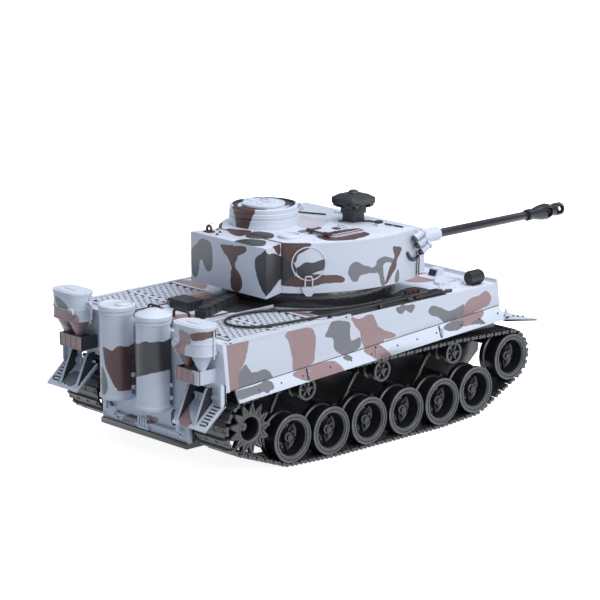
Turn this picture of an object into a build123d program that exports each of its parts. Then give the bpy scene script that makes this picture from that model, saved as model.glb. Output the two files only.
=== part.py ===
"""Radio-controlled heavy tank, 1:28, as an assembly of separate pieces. Millimetres.

Everything is laid out from the middle of the hull: X forward along the gun, Y to the left, Z up from
the ground. The finished pieces are moved along X so that the origin is under the middle of the whole.
"""
import os
from math import atan2, cos, degrees, hypot, radians, sin, tan

from build123d import *

# ---------------------------------------------------------------- driving dimensions
REAR_TIP = -122.3           # rearmost point, on the air filters
GUN_TIP = 204.3             # foremost point, at the muzzle
X_MIDDLE = (REAR_TIP + GUN_TIP) / 2

DECK_TOP = 71.4
DECK_THICK = 1.8
DECK_HALF = 60.1            # half width of the deck
CREASE_HALF = 63.0          # half width where the hull side meets the skirt
SKIRT_HALF = 66.0           # half width at the lower edge of the skirts
HULL_REAR = -104.7
HULL_FRONT = 88.5
HULL_WALL = 1.6
CREASE_REAR = 48.1          # the crease climbs towards the front
CREASE_FRONT = 59.4
SKIRT_REAR = 41.6
SKIRT_FRONT = 52.3

TUB_HALF = 34.0             # lower hull between the tracks
TUB_WALL = 2.0
TUB_FLOOR = 12.7
SHELF_LOW = 47.6            # floor of the overhangs above the tracks
SHELF_HIGH = 49.0

WHEEL_R = 12.54
WHEEL_FACE = 64.4           # outer faces of the running wheels
WHEEL_WIDTH = 12.2
ROAD_WHEELS = [(-64.0, 16.2), (-37.2, 15.0), (-10.5, 15.0), (16.3, 15.0), (43.0, 15.0), (68.45, 16.7)]
IDLER = (95.4, 30.0)
ROLLER_R = 5.87
ROLLER_FACE = 60.4
ROLLER_WIDTH = 11.0
ROLLERS = [(-50.4, 38.4), (2.5, 38.4), (55.4, 38.4)]
SPROCKET = (-93.2, 27.0)
SPROCKET_TIP_R = 13.6
SPROCKET_ROOT_R = 10.3
SPROCKET_TEETH = 13
SPROCKET_FACE = 64.2
PIN_R = 1.0                 # stub axles of the wheels
RUNNING_FIT = 0.05

TRACK_INNER, TRACK_OUTER = 38.5, 63.4
TRACK_BELT_OUTER = 60.8     # the solid belt stops short of the toothed ring
TRACK_GAP = 0.2             # wheel tread to belt
BELT_THICK = 1.1
LINK_THICK = 1.16
LINK_PITCH = 6.0
LINK_LENGTH = 3.4

TURRET_X = 6.0
TURRET_LOW = 79.5
TURRET_HIGH = 105.7
TURRET_WALL = 1.8
TURRET_FRONT = 45.0
TURRET_OVAL_X = 18.0
TURRET_OVAL = (61.6, 49.0)
BIN_REAR_HALF = 29.4        # half width of the stowage bin at its back
BIN_NECK_HALF = 24.2        # and where it meets the turret
BIN_REAR = -50.5
RING_R = 46.0
RING_NECK_R = 30.0

GUN_Z = 86.4
TRUNNION_X = 44.5
ROTOR_R = 6.3
ROTOR_HALF = 9.0

nodes = {}


# ---------------------------------------------------------------- small helpers
def block(x_range, y_range, z_range):
    """Box between two corners."""
    sizes = [high - low for low, high in (x_range, y_range, z_range)]
    middle = [(low + high) / 2 for low, high in (x_range, y_range, z_range)]
    return Pos(*middle) * Box(*sizes)


def rod(radius, start, end, end_radius=None):
    """Round bar, or a cone when the far end has another radius."""
    axis = Vector(*end) - Vector(*start)
    place = Plane(origin=start, z_dir=axis)
    low = (Align.CENTER, Align.CENTER, Align.MIN)
    if end_radius is None:
        return place * Cylinder(radius, axis.length, align=low)
    return place * Cone(radius, end_radius, axis.length, align=low)


def side_plate(points, y_range):
    """Outline in the X-Z plane, extruded from one Y to another."""
    low, high = y_range
    outline = Polyline(*[(x, 0, z) for x, z in points], close=True)
    return Pos(0, low, 0) * extrude(make_face(outline), high - low, dir=(0, 1, 0))


def cross_plate(points, x_range):
    """Outline in the Y-Z plane, extruded from one X to another."""
    low, high = x_range
    outline = Polyline(*[(0, y, z) for y, z in points], close=True)
    return Pos(low, 0, 0) * extrude(make_face(outline), high - low, dir=(1, 0, 0))


def turned(profile):
    """Solid of revolution about Y from (radius, depth) points."""
    return revolve(make_face(Polyline(*profile, close=True)), axis=Axis.Y)


def left_of(shape):
    """Mirror image on the other side of the hull."""
    return mirror(shape, about=Plane.XZ)


def both(shape):
    """A piece and its mirror image."""
    return shape + left_of(shape)


def joined(shapes):
    """Sum of a list of solids."""
    total = Part()
    for shape in shapes:
        total += shape
    return total


def along(x, rear, front):
    """Height of a line that runs from the hull's rear to its front, at x."""
    return rear + (front - rear) * (x - HULL_REAR) / (HULL_FRONT - HULL_REAR)


# ---------------------------------------------------------------- running gear
HUB_DEPTH = 3.4             # hub faces lie this far inside the wheel faces


def road_wheel():
    """Deep dished wheel: two rims on one drum, with a hub and six bosses in the dish."""
    dish_r, floor, web, rim = 9.3, 8.0, 9.8, 3.0
    hub_r, drum_r, back_r = 2.6, 11.6, 10.8
    bore = PIN_R + RUNNING_FIT
    profile = [
        (bore, HUB_DEPTH), (hub_r, HUB_DEPTH), (hub_r, floor), (8.7, floor), (dish_r, 0.8), (10.0, 0),
        (12.1, 0), (WHEEL_R, 0.5), (WHEEL_R, rim), (drum_r, rim + 0.6), (drum_r, 9.0), (WHEEL_R, 9.6),
        (WHEEL_R, WHEEL_WIDTH), (back_r, WHEEL_WIDTH), (back_r - 0.4, web), (hub_r + 0.4, web),
        (hub_r, WHEEL_WIDTH), (bore, WHEEL_WIDTH),
    ]
    wheel = turned(profile)
    boss_circle, boss_r = 5.6, 0.95
    for turn in range(0, 360, 60):
        x, z = boss_circle * cos(radians(turn)), boss_circle * sin(radians(turn))
        wheel += rod(boss_r, (x, floor + 0.2, z), (x, floor - 1.6, z))
    return wheel


def return_roller():
    """Small double roller with a six-armed hub star in a shallow dish."""
    bore = PIN_R + RUNNING_FIT
    profile = [
        (bore, 0.9), (1.9, 0.9), (1.9, 2.4), (4.2, 2.4), (4.5, 0.5), (4.8, 0), (ROLLER_R - 0.3, 0),
        (ROLLER_R, 0.3), (ROLLER_R, 2.6), (4.6, 3.0), (4.6, 8.0), (ROLLER_R, 8.4),
        (ROLLER_R, ROLLER_WIDTH), (bore, ROLLER_WIDTH),
    ]
    roller = turned(profile)
    arm = block((1.5, 3.6), (1.5, 2.5), (-0.55, 0.55))
    for turn in range(0, 360, 60):
        roller += Rot(0, turn, 0) * arm
    return roller


def drive_sprocket():
    """Thirteen-pointed outer ring, drum, inner ring and an output shaft into the gearbox."""
    ring_thick, inner_tip = 2.4, 12.4
    inner_ring = SPROCKET_FACE - 41.6
    shaft_end = SPROCKET_FACE - 28.0

    def star(tip_r, root_r, depth):
        points = []
        for tooth in range(SPROCKET_TEETH):
            middle = 360 * tooth / SPROCKET_TEETH
            half = 180 / SPROCKET_TEETH
            points.append((tip_r * cos(radians(middle)), 0, tip_r * sin(radians(middle))))
            points.append((root_r * cos(radians(middle + half)), 0, root_r * sin(radians(middle + half))))
        face = make_face(Polyline(*points, close=True))
        return Pos(0, depth, 0) * extrude(face, ring_thick, dir=(0, 1, 0))

    drum = turned([
        (0, 5.4), (1.0, 5.4), (1.0, 4.6), (2.3, 4.6), (2.3, 12.0), (5.4, 12.0), (6.0, 0), (7.5, 0),
        (8.4, ring_thick), (8.4, inner_ring), (6.5, inner_ring + ring_thick),
        (1.6, inner_ring + ring_thick), (1.6, shaft_end), (0, shaft_end),
    ])
    opening = rod(6.0, (0, -1, 0), (0, ring_thick + 1, 0))
    outer = star(SPROCKET_TIP_R, SPROCKET_ROOT_R, 0) - opening
    inner = star(inner_tip, SPROCKET_ROOT_R - 1.0, inner_ring) - rod(6.0, (0, 20, 0), (0, 27, 0))
    return drum + outer + inner


def place_wheels(kind, shape, places, face):
    """Right and left copies of a wheel at each place, one node each."""
    for number, (x, z) in enumerate(places, start=1):
        name = kind if len(places) == 1 else f"{kind}_{number}"
        right = Pos(x, -face, z) * shape
        nodes[f"{name}_right"] = right
        nodes[f"{name}_left"] = left_of(right)


def track_outline(extra):
    """Closed outline of the track's inner face, grown outwards by extra."""
    circles = [(SPROCKET, SPROCKET_TIP_R - 0.7)]
    circles += [(place, WHEEL_R + TRACK_GAP) for place in ROAD_WHEELS + [IDLER]]
    circles += [(place, ROLLER_R + TRACK_GAP) for place in ROLLERS]
    rings = [Pos(x, z) * CenterArc((0, 0), radius + extra, 0, 360) for (x, z), radius in circles]
    return make_hull(rings)


def track():
    """Right track: a belt round all the wheels, and one crossing link bar for each pitch."""
    upright = Plane(origin=(0, 0, 0), x_dir=(1, 0, 0), z_dir=(0, -1, 0))
    belt_face = upright * (track_outline(BELT_THICK) - track_outline(0))
    belt = Pos(0, -TRACK_INNER, 0) * extrude(belt_face, TRACK_BELT_OUTER - TRACK_INNER, dir=(0, -1, 0))
    line = (track_outline(BELT_THICK)).face().outer_wire()
    count = round(line.length / LINK_PITCH)
    bite = 0.06             # the bars sink a little into the belt, so that they are one piece
    bars = Sketch()
    for number in range(count):
        place = line.position_at(number / count)
        heading = line.tangent_at(number / count)
        turn = degrees(atan2(heading.Y, heading.X))
        outwards = (heading.Y, -heading.X) if point_outside(place, heading) else (-heading.Y, heading.X)
        middle = (LINK_THICK - bite) / 2
        x, z = place.X + outwards[0] * middle, place.Y + outwards[1] * middle
        bars += Pos(x, z) * Rot(0, 0, turn) * Rectangle(LINK_LENGTH, LINK_THICK + bite)
    bar_solids = Pos(0, -TRACK_INNER, 0) * extrude(upright * bars, TRACK_OUTER - TRACK_INNER, dir=(0, -1, 0))
    return belt + bar_solids


def point_outside(place, heading):
    """True when the right-hand normal at a place of the track's outline points away from its middle."""
    middle_z = 24.0
    return (place.X * heading.Y) - ((place.Y - middle_z) * heading.X) > 0


def suspension():
    """Right-hand swing arms with stub axles, roller pins and sloping dampers."""
    pieces = []
    arm_y = (-50.0, -44.0)
    pivot_back, pivot_up, boss_r, eye_r = 11.0, 5.5, 3.2, 3.0
    pin_end = -(WHEEL_FACE - HUB_DEPTH)
    for x, z in ROAD_WHEELS + [IDLER]:
        back = pivot_back if (x, z) != IDLER else -pivot_back * 0.3
        pivot = (x - back, z + pivot_up)
        boss = rod(boss_r, (pivot[0], -TUB_HALF, pivot[1]), (pivot[0], arm_y[0], pivot[1]))
        eye = rod(eye_r, (x, arm_y[1], z), (x, arm_y[0], z))
        length = hypot(back, pivot_up)
        angle = degrees(atan2(pivot_up, -back))
        arm = Pos((x + pivot[0]) / 2, sum(arm_y) / 2, (z + pivot[1]) / 2) * Rot(0, -angle, 0)
        arm = arm * Box(length, arm_y[1] - arm_y[0], 3.6)
        pin = rod(PIN_R, (x, arm_y[1], z), (x, pin_end, z))
        pieces.append(boss + eye + arm + pin)
    for x, z in ROLLERS:
        foot = rod(2.6, (x, -TUB_HALF, z), (x, -(ROLLER_FACE - ROLLER_WIDTH - 0.6), z))
        pin = rod(PIN_R, (x, -TUB_HALF, z), (x, -(ROLLER_FACE - 0.9), z))
        pieces.append(foot + pin)
    damper_y, low_z, high_z = -47.0, 19.0, 37.0
    for x_low, x_high in ((-68.0, -58.8), (-16.8, -3.7), (35.9, 48.9)):
        low, high = (x_low, damper_y, low_z), (x_high, damper_y, high_z)
        middle = tuple((a + b) / 2 for a, b in zip(low, high))
        mount = rod(1.5, (x_high, -TUB_HALF, high_z), (x_high, damper_y - 2.0, high_z))
        pieces.append(rod(1.9, low, middle) + rod(1.3, middle, high) + mount)
    return joined(pieces)


# ---------------------------------------------------------------- hull
BATTERY_BAY = ((-34.0, 40.0), (-21.0, 21.0))
SWITCH_X, SWITCH_Y = -58.0, 20.0
SWITCH_TRAVEL = 3.0


def lower_hull():
    """Black tub with a battery bay and a switch slot, the shelves above the tracks and the board's posts."""
    outer = side_plate([
        (HULL_REAR, TUB_FLOOR), (84, TUB_FLOOR), (101.5, 27), (101.5, 40), (95, SHELF_LOW),
        (HULL_REAR, SHELF_LOW),
    ], (-TUB_HALF, TUB_HALF))
    inside = side_plate([
        (HULL_REAR + TUB_WALL, TUB_FLOOR + TUB_WALL), (83.3, TUB_FLOOR + TUB_WALL), (99.5, 28),
        (99.5, 39.2), (91, 49), (HULL_REAR + TUB_WALL, 49),
    ], (-TUB_HALF + TUB_WALL, TUB_HALF - TUB_WALL))
    shelf_front, lip_y = HULL_FRONT - HULL_WALL - 0.3, 59.6
    shelf = block((HULL_REAR, shelf_front), (-lip_y, -TUB_HALF), (SHELF_LOW, SHELF_HIGH))
    lip = side_plate([
        (HULL_REAR, SHELF_LOW), (shelf_front, SHELF_LOW), (shelf_front, CREASE_FRONT - 2.5),
        (HULL_REAR, CREASE_REAR + 1.0),
    ], (-lip_y, -lip_y + 1.4))
    front_lip = block((shelf_front - 1.4, shelf_front), (-lip_y, -38), (SHELF_LOW, CREASE_FRONT - 2.5))
    strip = block((HULL_REAR - 3.7, HULL_REAR), (-TUB_HALF, TUB_HALF), (TUB_FLOOR, TUB_FLOOR + 2.9))
    tub = outer - inside + strip
    tub -= block(*BATTERY_BAY, (TUB_FLOOR - 1, TUB_FLOOR + TUB_WALL + 1))
    slot = (SWITCH_X - 1.8, SWITCH_X + 1.8 + SWITCH_TRAVEL)
    tub -= block(slot, (SWITCH_Y - 1.5, SWITCH_Y + 1.5), (TUB_FLOOR - 1, TUB_FLOOR + TUB_WALL + 1))
    sprocket_x, sprocket_z = SPROCKET
    tub -= rod(4.0, (sprocket_x, -60, sprocket_z), (sprocket_x, 60, sprocket_z))
    post_low, post_top, post_r = TUB_FLOOR + TUB_WALL, 44.0, 1.8
    posts = [rod(post_r, (x, y, post_low), (x, y, post_top)) for x in (-37.5, 43.5) for y in (-24.5, 24.5)]
    overhang = shelf + lip + front_lip
    return Compound([*tub.solids(), *overhang.solids(), *left_of(overhang).solids(),
                     *[solid for post in posts for solid in post.solids()]])


def upper_hull():
    """White top casing: deck, sloping sides down to the crease, driver's plate and glacis."""
    below = 46.0
    outer = cross_plate([
        (-DECK_HALF, DECK_TOP), (DECK_HALF, DECK_TOP), (CREASE_HALF, below), (-CREASE_HALF, below),
    ], (HULL_REAR, HULL_FRONT))
    inside = cross_plate([
        (-DECK_HALF + HULL_WALL, DECK_TOP - DECK_THICK), (DECK_HALF - HULL_WALL, DECK_TOP - DECK_THICK),
        (CREASE_HALF - HULL_WALL, below - 1), (-CREASE_HALF + HULL_WALL, below - 1),
    ], (HULL_REAR - 1, HULL_FRONT - HULL_WALL))
    under_crease = side_plate([
        (HULL_REAR, CREASE_REAR), (HULL_FRONT, CREASE_FRONT), (HULL_FRONT + 5, CREASE_FRONT),
        (HULL_FRONT + 5, 30), (HULL_REAR - 5, 30), (HULL_REAR - 5, CREASE_REAR),
    ], (-80, 80))
    casing = outer - inside - under_crease
    casing -= Pos(TURRET_X, 0, DECK_TOP) * Cylinder(RING_NECK_R + 0.3, 12)
    glacis_half, nose = 36.0, 103.2
    casing += side_plate([
        (HULL_FRONT, 60.6), (nose, 46.4), (nose, 40.6), (nose - HULL_WALL, 40.6),
        (nose - HULL_WALL, 45.6), (HULL_FRONT, 58.2),
    ], (-glacis_half, glacis_half))
    casing += both(side_plate([
        (HULL_FRONT, 60.2), (nose, 46.0), (nose, 41.0), (HULL_FRONT, 50.5),
    ], (-glacis_half, -glacis_half + 1.4)))
    lip = block((HULL_FRONT - HULL_WALL, HULL_FRONT), (-DECK_HALF, DECK_HALF), (DECK_TOP, DECK_TOP + 2.0))
    return casing + lip


def rear_plate():
    """Back wall of the hull, with tow hooks and a crossing bar on brackets."""
    x_range = (HULL_REAR - 2.4, HULL_REAR)
    plate = block(x_range, (-TUB_HALF, TUB_HALF), (TUB_FLOOR + 2.9, SHELF_LOW))
    side_low = DECK_HALF + (CREASE_HALF - DECK_HALF) * (DECK_TOP - SHELF_LOW) / (DECK_TOP - 46.0)
    plate += cross_plate([
        (-DECK_HALF, DECK_TOP), (DECK_HALF, DECK_TOP), (side_low, SHELF_LOW), (-side_low, SHELF_LOW),
    ], x_range)
    face = x_range[0]
    bar_x, bar_z, bar_r = face - 1.3, 20.0, 1.0
    plate += rod(bar_r, (bar_x, -31.0, bar_z), (bar_x, 22.0, bar_z))
    for y in (-30.0, -4.0, 1.0, 21.0):
        plate += block((bar_x - 0.6, face + 0.2), (y - 0.8, y + 0.8), (bar_z - 2.2, bar_z + 1.4))
    for y in (-28.5, 28.5):
        hook = block((face - 3.0, face + 0.2), (y - 1.0, y + 1.0), (24.0, 26.0))
        hook += block((face - 3.0, face - 1.6), (y - 1.0, y + 1.0), (21.5, 26.0))
        plate += hook
    return plate


def skirt():
    """Right side skirt: a strip that slopes out and down from the crease, in four panels."""
    rear, front = -101.0, HULL_FRONT - 0.2
    panels = 4

    def section(x):
        crease = along(x, CREASE_REAR, CREASE_FRONT) - 0.1
        low = along(x, SKIRT_REAR, SKIRT_FRONT)
        top_y = DECK_HALF + (CREASE_HALF - DECK_HALF) * (DECK_TOP - crease) / (DECK_TOP - 46.0)
        thick = 1.2
        points = [(x, -top_y, crease), (x, -SKIRT_HALF, low), (x, -SKIRT_HALF + thick, low - 0.3),
                  (x, -top_y + thick, crease - 0.4)]
        return make_face(Polyline(*points, close=True))

    strip = loft([section(rear), section(front)], ruled=True)
    for number in range(1, panels):
        x = rear + (front - rear) * number / panels
        crease, low = along(x, CREASE_REAR, CREASE_FRONT), along(x, SKIRT_REAR, SKIRT_FRONT)
        strip += side_plate([
            (x - 0.5, crease - 1.4), (x + 0.5, crease - 1.4), (x + 0.5, low + 0.3), (x - 0.5, low + 0.3),
        ], (-SKIRT_HALF, -SKIRT_HALF + 1.8))
    return strip


def front_fender():
    """Right front fender flap, with its inner stiffening rib."""
    tip, inner = 113.8, 37.0
    start_z, tip_z, thick = SKIRT_FRONT, 47.6, 1.2
    plate = side_plate([
        (HULL_FRONT, start_z), (tip, tip_z), (tip, tip_z - thick * 0.6), (HULL_FRONT, start_z - thick),
    ], (-SKIRT_HALF, -inner))
    side_wing = side_plate([
        (HULL_FRONT + 0.5, CREASE_FRONT - 1.0), (HULL_FRONT + 4.5, start_z - 0.9), (HULL_FRONT + 0.5, start_z),
    ], (-SKIRT_HALF, -SKIRT_HALF + 1.2))
    return plate + side_wing


def mudflap():
    """Right rear mudflap: upright outer leaf, sloping flap and two braces."""
    face = HULL_REAR - 2.4
    tip_x, tip_z, thick = -121.1, 29.8, 1.2
    inner, outer = -37.7, -62.6
    flap = side_plate([
        (face, 42.2), (tip_x, tip_z + 0.6), (tip_x + 0.5, tip_z), (face, 40.8),
    ], (outer, inner))
    leaf = block((face - thick, face), (outer, -50.5), (40.9, 51.6))
    leaf += block((face - 3.4, face), (outer, outer + 1.2), (40.9, 51.6))
    for y in (-39.5, -52.0):
        flap += side_plate([
            (face, 48.5), (face - 4.0, 48.5), (tip_x + 1.5, tip_z + 1.8), (face, 41.5),
        ], (y, y + 1.0))
    return flap + leaf


def exhaust_tube(side):
    """Upright exhaust shroud against the rear plate, with ring mouldings and a lid."""
    x, y, radius, low, high = -112.8, 14.4 * side, 9.0, 30.6, 79.2
    tube = Pos(x, y, (low + high) / 2) * Cylinder(radius, high - low)
    for z, grow, tall in ((low + 1.4, 0.6, 1.6), (high - 3.0, 0.4, 1.2), (high, 0.5, 1.6)):
        tube += Pos(x, y, z) * Cylinder(radius + grow, tall)
    lid_height = 2.6 if side < 0 else 1.0
    tube += Pos(x, y, high + 0.8 + lid_height / 2) * Cone(radius, radius * 0.35, lid_height)
    plate_face = HULL_REAR - 2.4
    return tube - block((plate_face, plate_face + 40), (-60, 60), (0, 120))


def air_filter():
    """Right air filter: twin cyclones under one lid, standing on a bracket box."""
    x, y_near, y_far, radius = -114.3, -53.0, -43.4, 7.2
    middle, spread = (y_near + y_far) / 2, abs(y_near - y_far)
    body_low, body_high = 66.7, 80.4

    def oval(grow, low, high):
        slot = Rot(0, 0, 90) * SlotCenterToCenter(spread, 2 * (radius + grow))
        return Pos(x, middle, low) * extrude(slot, high - low)

    body = oval(0, body_low, body_high) + oval(0.3, body_high, body_high + 1.0)
    body += oval(-2.2, body_high + 1.0, body_high + 1.9)
    box_top = 58.6
    for y in (y_near, y_far):
        body += rod(5.0, (x, y, body_low), (x, y, box_top), 2.0)
    body += rod(2.4, (x, middle + 2.6, 72.0), (REAR_TIP, middle + 2.6, 72.0))
    lug_y, lug_z = y_far + radius + 1.4, 75.5
    body += rod(2.0, (x - 0.7, lug_y, lug_z), (x + 0.7, lug_y, lug_z))
    body -= rod(0.8, (x - 2.0, lug_y, lug_z), (x + 2.0, lug_y, lug_z))
    plate_face = HULL_REAR - 2.4
    body += block((-118.0, plate_face), (-55.0, -37.3), (51.6, box_top))
    return body


# ---------------------------------------------------------------- deck fittings
GRILLE_X = (-100.5, -40.0)
GRILLE_Y = (-58.3, -21.5)
GRILLE_THICK = 1.0


def deck_grille():
    """Right engine grille: a frame round a field of narrow slots."""
    x_low, x_high = GRILLE_X
    y_low, y_high = GRILLE_Y
    field_x, field_y = x_high - x_low - 6, y_high - y_low - 5
    columns, rows = 9, 8
    plate = Rectangle(x_high - x_low, y_high - y_low)
    pitch_x, pitch_y = field_x / columns, field_y / rows
    plate -= GridLocations(pitch_x, pitch_y, columns, rows) * Rectangle(pitch_x - 1.4, pitch_y - 1.6)
    solid = extrude(Pos((x_low + x_high) / 2, (y_low + y_high) / 2) * plate, GRILLE_THICK)
    ring_clear = Pos(TURRET_X, 0) * Cylinder(RING_R + 1.2, 8)
    return Pos(0, 0, DECK_TOP) * (solid - ring_clear)


def engine_hatch():
    """Middle engine cover with the air-trunk box, two trunks and a lifting handle."""
    top = DECK_TOP + 1.6
    plate = block((-101.0, -42.5), (-20.0, 20.0), (DECK_TOP, top))
    plate -= Pos(TURRET_X, 0, DECK_TOP) * Cylinder(RING_R + 1.2, 12)
    box = block((-80.0, -70.0), (-2.0, 12.0), (top, top + 5.0))
    trunk_right = Pos(-66.0, -9.0, top + 2.4) * Rot(0, 0, 22) * Box(38, 7, 4.8)
    trunk_left = Pos(-64.0, 15.0, top + 1.8) * Box(26, 6, 3.6)
    handle = block((-92.0, -90.0), (-17.5, -15.5), (top, top + 4.0))
    handle += block((-92.0, -90.0), (-5.5, -3.5), (top, top + 4.0))
    handle += block((-92.0, -90.0), (-17.5, -3.5), (top + 2.8, top + 4.4))
    ring_clear = Pos(TURRET_X, 0, DECK_TOP) * Cylinder(RING_R + 1.2, 30)
    return plate + (box + trunk_right + trunk_left + handle - ring_clear)


CABLE_R = 0.7
CABLE_Z = DECK_TOP + GRILLE_THICK + CABLE_R + 0.15
CABLE_ROUTE = [
    (22.0, -57.2), (-6.0, -58.0), (-32.0, -56.8), (-56.0, -53.8), (-73.0, -52.0), (-81.5, -45.5),
    (-83.0, -35.0), (-76.5, -26.8), (-64.0, -24.2), (-50.0, -26.8), (-37.5, -38.0), (-23.0, -49.8),
    (-2.0, -53.6), (22.0, -53.8),
]


def tow_cable():
    """Steel tow rope clipped to the right of the deck in one long loop, with an eye at each end."""
    points = [Vector(x, y, CABLE_Z) for x, y in CABLE_ROUTE]
    radii = []
    for before, corner, after in zip(points, points[1:], points[2:]):
        arriving, leaving = corner - before, after - corner
        half_turn = radians(arriving.get_angle(leaving)) / 2
        radii.append(0.45 * min(arriving.length, leaving.length) / tan(half_turn))
    path = FilletPolyline(*points, radius=radii)
    return sweep(Plane(origin=path @ 0, z_dir=path % 0) * Circle(CABLE_R), path=path)


def cable_eye(x, y):
    """Flat eye that a rope end is spliced into."""
    eye = rod(2.0, (x, y, CABLE_Z - 0.7), (x, y, CABLE_Z + 0.7))
    return eye - rod(1.0, (x, y, CABLE_Z - 2), (x, y, CABLE_Z + 2))


def deck_tools():
    """Shovel, crowbar, jack block and the rope's eyes and clips along the right edge of the deck."""
    low = DECK_TOP
    bar = block((28.0, 55.0), (-58.8, -57.0), (low, low + 1.8))
    blade = block((42.0, 52.0), (-56.0, -50.5), (low, low + 2.2))
    shaft = block((28.0, 42.2), (-54.2, -52.4), (low, low + 1.6))
    jack = block((30.0, 40.0), (-49.5, -47.8), (low, low + 3.0))
    eyes = [cable_eye(x + 2.06, y) for x, y in (CABLE_ROUTE[0], CABLE_ROUTE[-1])]
    ribs = [block((57.0, 63.0), (-47.5, -46.5), (low, low + 0.8)),
            block((56.0, 63.0), (-53.5, -52.5), (low, low + 0.8))]
    return joined([bar, blade + shaft, jack] + eyes + ribs)


def headlight():
    """Right headlight: a ribbed round housing along X on a short foot."""
    y, z, radius = -54.0, 75.3, 3.6
    lamp = rod(radius, (71.6, y, z), (81.2, y, z))
    for number in range(4):
        x = 73.2 + 2.1 * number
        lamp += rod(radius + 0.35, (x, y, z), (x + 0.7, y, z))
    foot = block((74.0, 77.5), (y - 1.6, y + 1.6), (DECK_TOP, z))
    return lamp + foot


def hull_hatches():
    """Two round crew hatches, periscope hoods and the driver's visor on the front deck."""
    x, y, radius = 69.5, 42.0, 8.0
    discs = [Pos(x, side * y, DECK_TOP + 0.6) * Cylinder(radius, 1.2) for side in (-1, 1)]
    hoods = []
    for side in (-1, 1):
        hood_y = side * 26.5
        hood = side_plate([(72.0, DECK_TOP), (78.0, DECK_TOP), (78.0, DECK_TOP + 4.4), (74.0, DECK_TOP + 4.4)],
                          (hood_y - 3.2, hood_y + 3.2))
        hoods.append(hood)
    visor = block((HULL_FRONT, HULL_FRONT + 1.6), (8.0, 26.0), (63.0, 67.5))
    return joined(discs + hoods + [visor])


# ---------------------------------------------------------------- inside the hull
def battery_cover():
    """Cover that closes the battery bay from below."""
    (x_low, x_high), (y_low, y_high) = BATTERY_BAY
    gap = 0.2
    cover = block((x_low + gap, x_high - gap), (y_low + gap, y_high - gap), (TUB_FLOOR, TUB_FLOOR + TUB_WALL))
    for y in (-8, 0, 8):
        cover -= block((-20, 26), (y - 1, y + 1), (TUB_FLOOR - 1, TUB_FLOOR + 0.5))
    return cover


def battery_pack():
    """Two round cells side by side in a shrink sleeve."""
    radius, low = 9.2, TUB_FLOOR + TUB_WALL + 0.4
    cells = Pos(0, 0, low + radius) * Rot(90, 0, 0) * Rot(0, 90, 0) * extrude(
        SlotCenterToCenter(2 * radius, 2 * radius), 66)
    return Pos(-30.0 - cells.bounding_box().min.X, 0, 0) * cells


def circuit_board():
    """Receiver board on the four posts, with a processor, connectors and a capacitor."""
    top = 45.6
    board = block((-39.5, 45.5), (-27.0, 27.0), (44.0, top))
    for x in (-37.5, 43.5):
        for y in (-24.5, 24.5):
            board -= rod(1.0, (x, y, 40), (x, y, 50))
    board += block((-6, 8), (-7, 7), (top, top + 1.6))
    board += joined([block((x, x + 6), (-25, -19), (top, top + 5)) for x in (-25, -16, -7)])
    board += rod(4.0, (28, 10, top), (28, 10, top + 9))
    return board


def drive_gearbox():
    """Twin reduction gearbox across the rear of the tub, with bushes for the sprocket shafts."""
    sprocket_x, sprocket_z = SPROCKET
    case = block((-101.5, -64.0), (-30.0, 30.0), (TUB_FLOOR + TUB_WALL, 38.0))
    case += rod(3.8, (sprocket_x, -33.6, sprocket_z), (sprocket_x, 33.6, sprocket_z))
    case -= rod(1.6 + RUNNING_FIT, (sprocket_x, -40, sprocket_z), (sprocket_x, 40, sprocket_z))
    return case


def motors():
    """Two drive motors in front of the gearbox and the turret motor upright under the deck."""
    drive = []
    for y in (-13.0, 13.0):
        can = rod(10.0, (-63.9, y, 27.0), (-41.0, y, 27.0))
        can -= block((-70, -35), (y - 12, y + 12), (27.0 + 7.6, 60))
        can -= block((-70, -35), (y - 12, y + 12), (0, 27.0 - 7.6))
        drive.append(can + rod(3.0, (-41.2, y, 27.0), (-38.6, y, 27.0)))
    turret_motor = rod(8.0, (50.0, 0, 50.0), (50.0, 0, 66.0)) + rod(1.0, (50.0, 0, 66.0), (50.0, 0, 69.0))
    return joined(drive + [turret_motor])


def power_switch():
    """Sliding switch knob in the floor slot, with the flange that keeps it in."""
    knob = block((SWITCH_X - 1.6, SWITCH_X + 1.6), (SWITCH_Y - 1.3, SWITCH_Y + 1.3), (11.9, 15.0))
    top = TUB_FLOOR + TUB_WALL
    return knob + block((SWITCH_X - 3.4, SWITCH_X + 3.4), (SWITCH_Y - 3.0, SWITCH_Y + 3.0), (top + 0.1, top + 1.3))


def screws():
    """Wheel screws, hull screws and the battery cover's screws."""
    pieces = []
    places = [(place, WHEEL_FACE - HUB_DEPTH) for place in ROAD_WHEELS + [IDLER]]
    places += [(place, ROLLER_FACE - 0.9) for place in ROLLERS]
    for (x, z), hub in places:
        head = rod(1.7, (x, -hub - 0.15, z), (x, -hub - 1.15, z)) + rod(PIN_R, (x, -hub, z), (x, -hub - 0.3, z))
        pieces.append(both(head))
    for x, y in ((-70.0, 26.0), (70.0, 26.0)):
        pieces.append(both(rod(1.8, (x, -y, TUB_FLOOR - 0.8), (x, -y, TUB_FLOOR))))
    return joined(pieces)


# ---------------------------------------------------------------- turret
def turret_solid(grow, low, high):
    """Turret plan, grown or shrunk, between two heights: an oval with a flat front and a flat back."""
    a, b = TURRET_OVAL
    back = TURRET_OVAL_X - a * (1 - (BIN_NECK_HALF / b) ** 2) ** 0.5
    width = TURRET_FRONT - back + 2 * grow
    oval = Pos(TURRET_OVAL_X, 0) * Ellipse(a + grow, b + grow)
    plan = oval & Pos((TURRET_FRONT + back) / 2, 0) * Rectangle(width, 3 * b)
    return Pos(0, 0, low) * extrude(plan, high - low)


ROOF_LOW = TURRET_HIGH - 1.7
GUN_PORT_RISE = 8.3         # the port clears the sleeve at full elevation
FRONT_PLATE = 51.5
FRONT_HALF = 41.5


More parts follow.
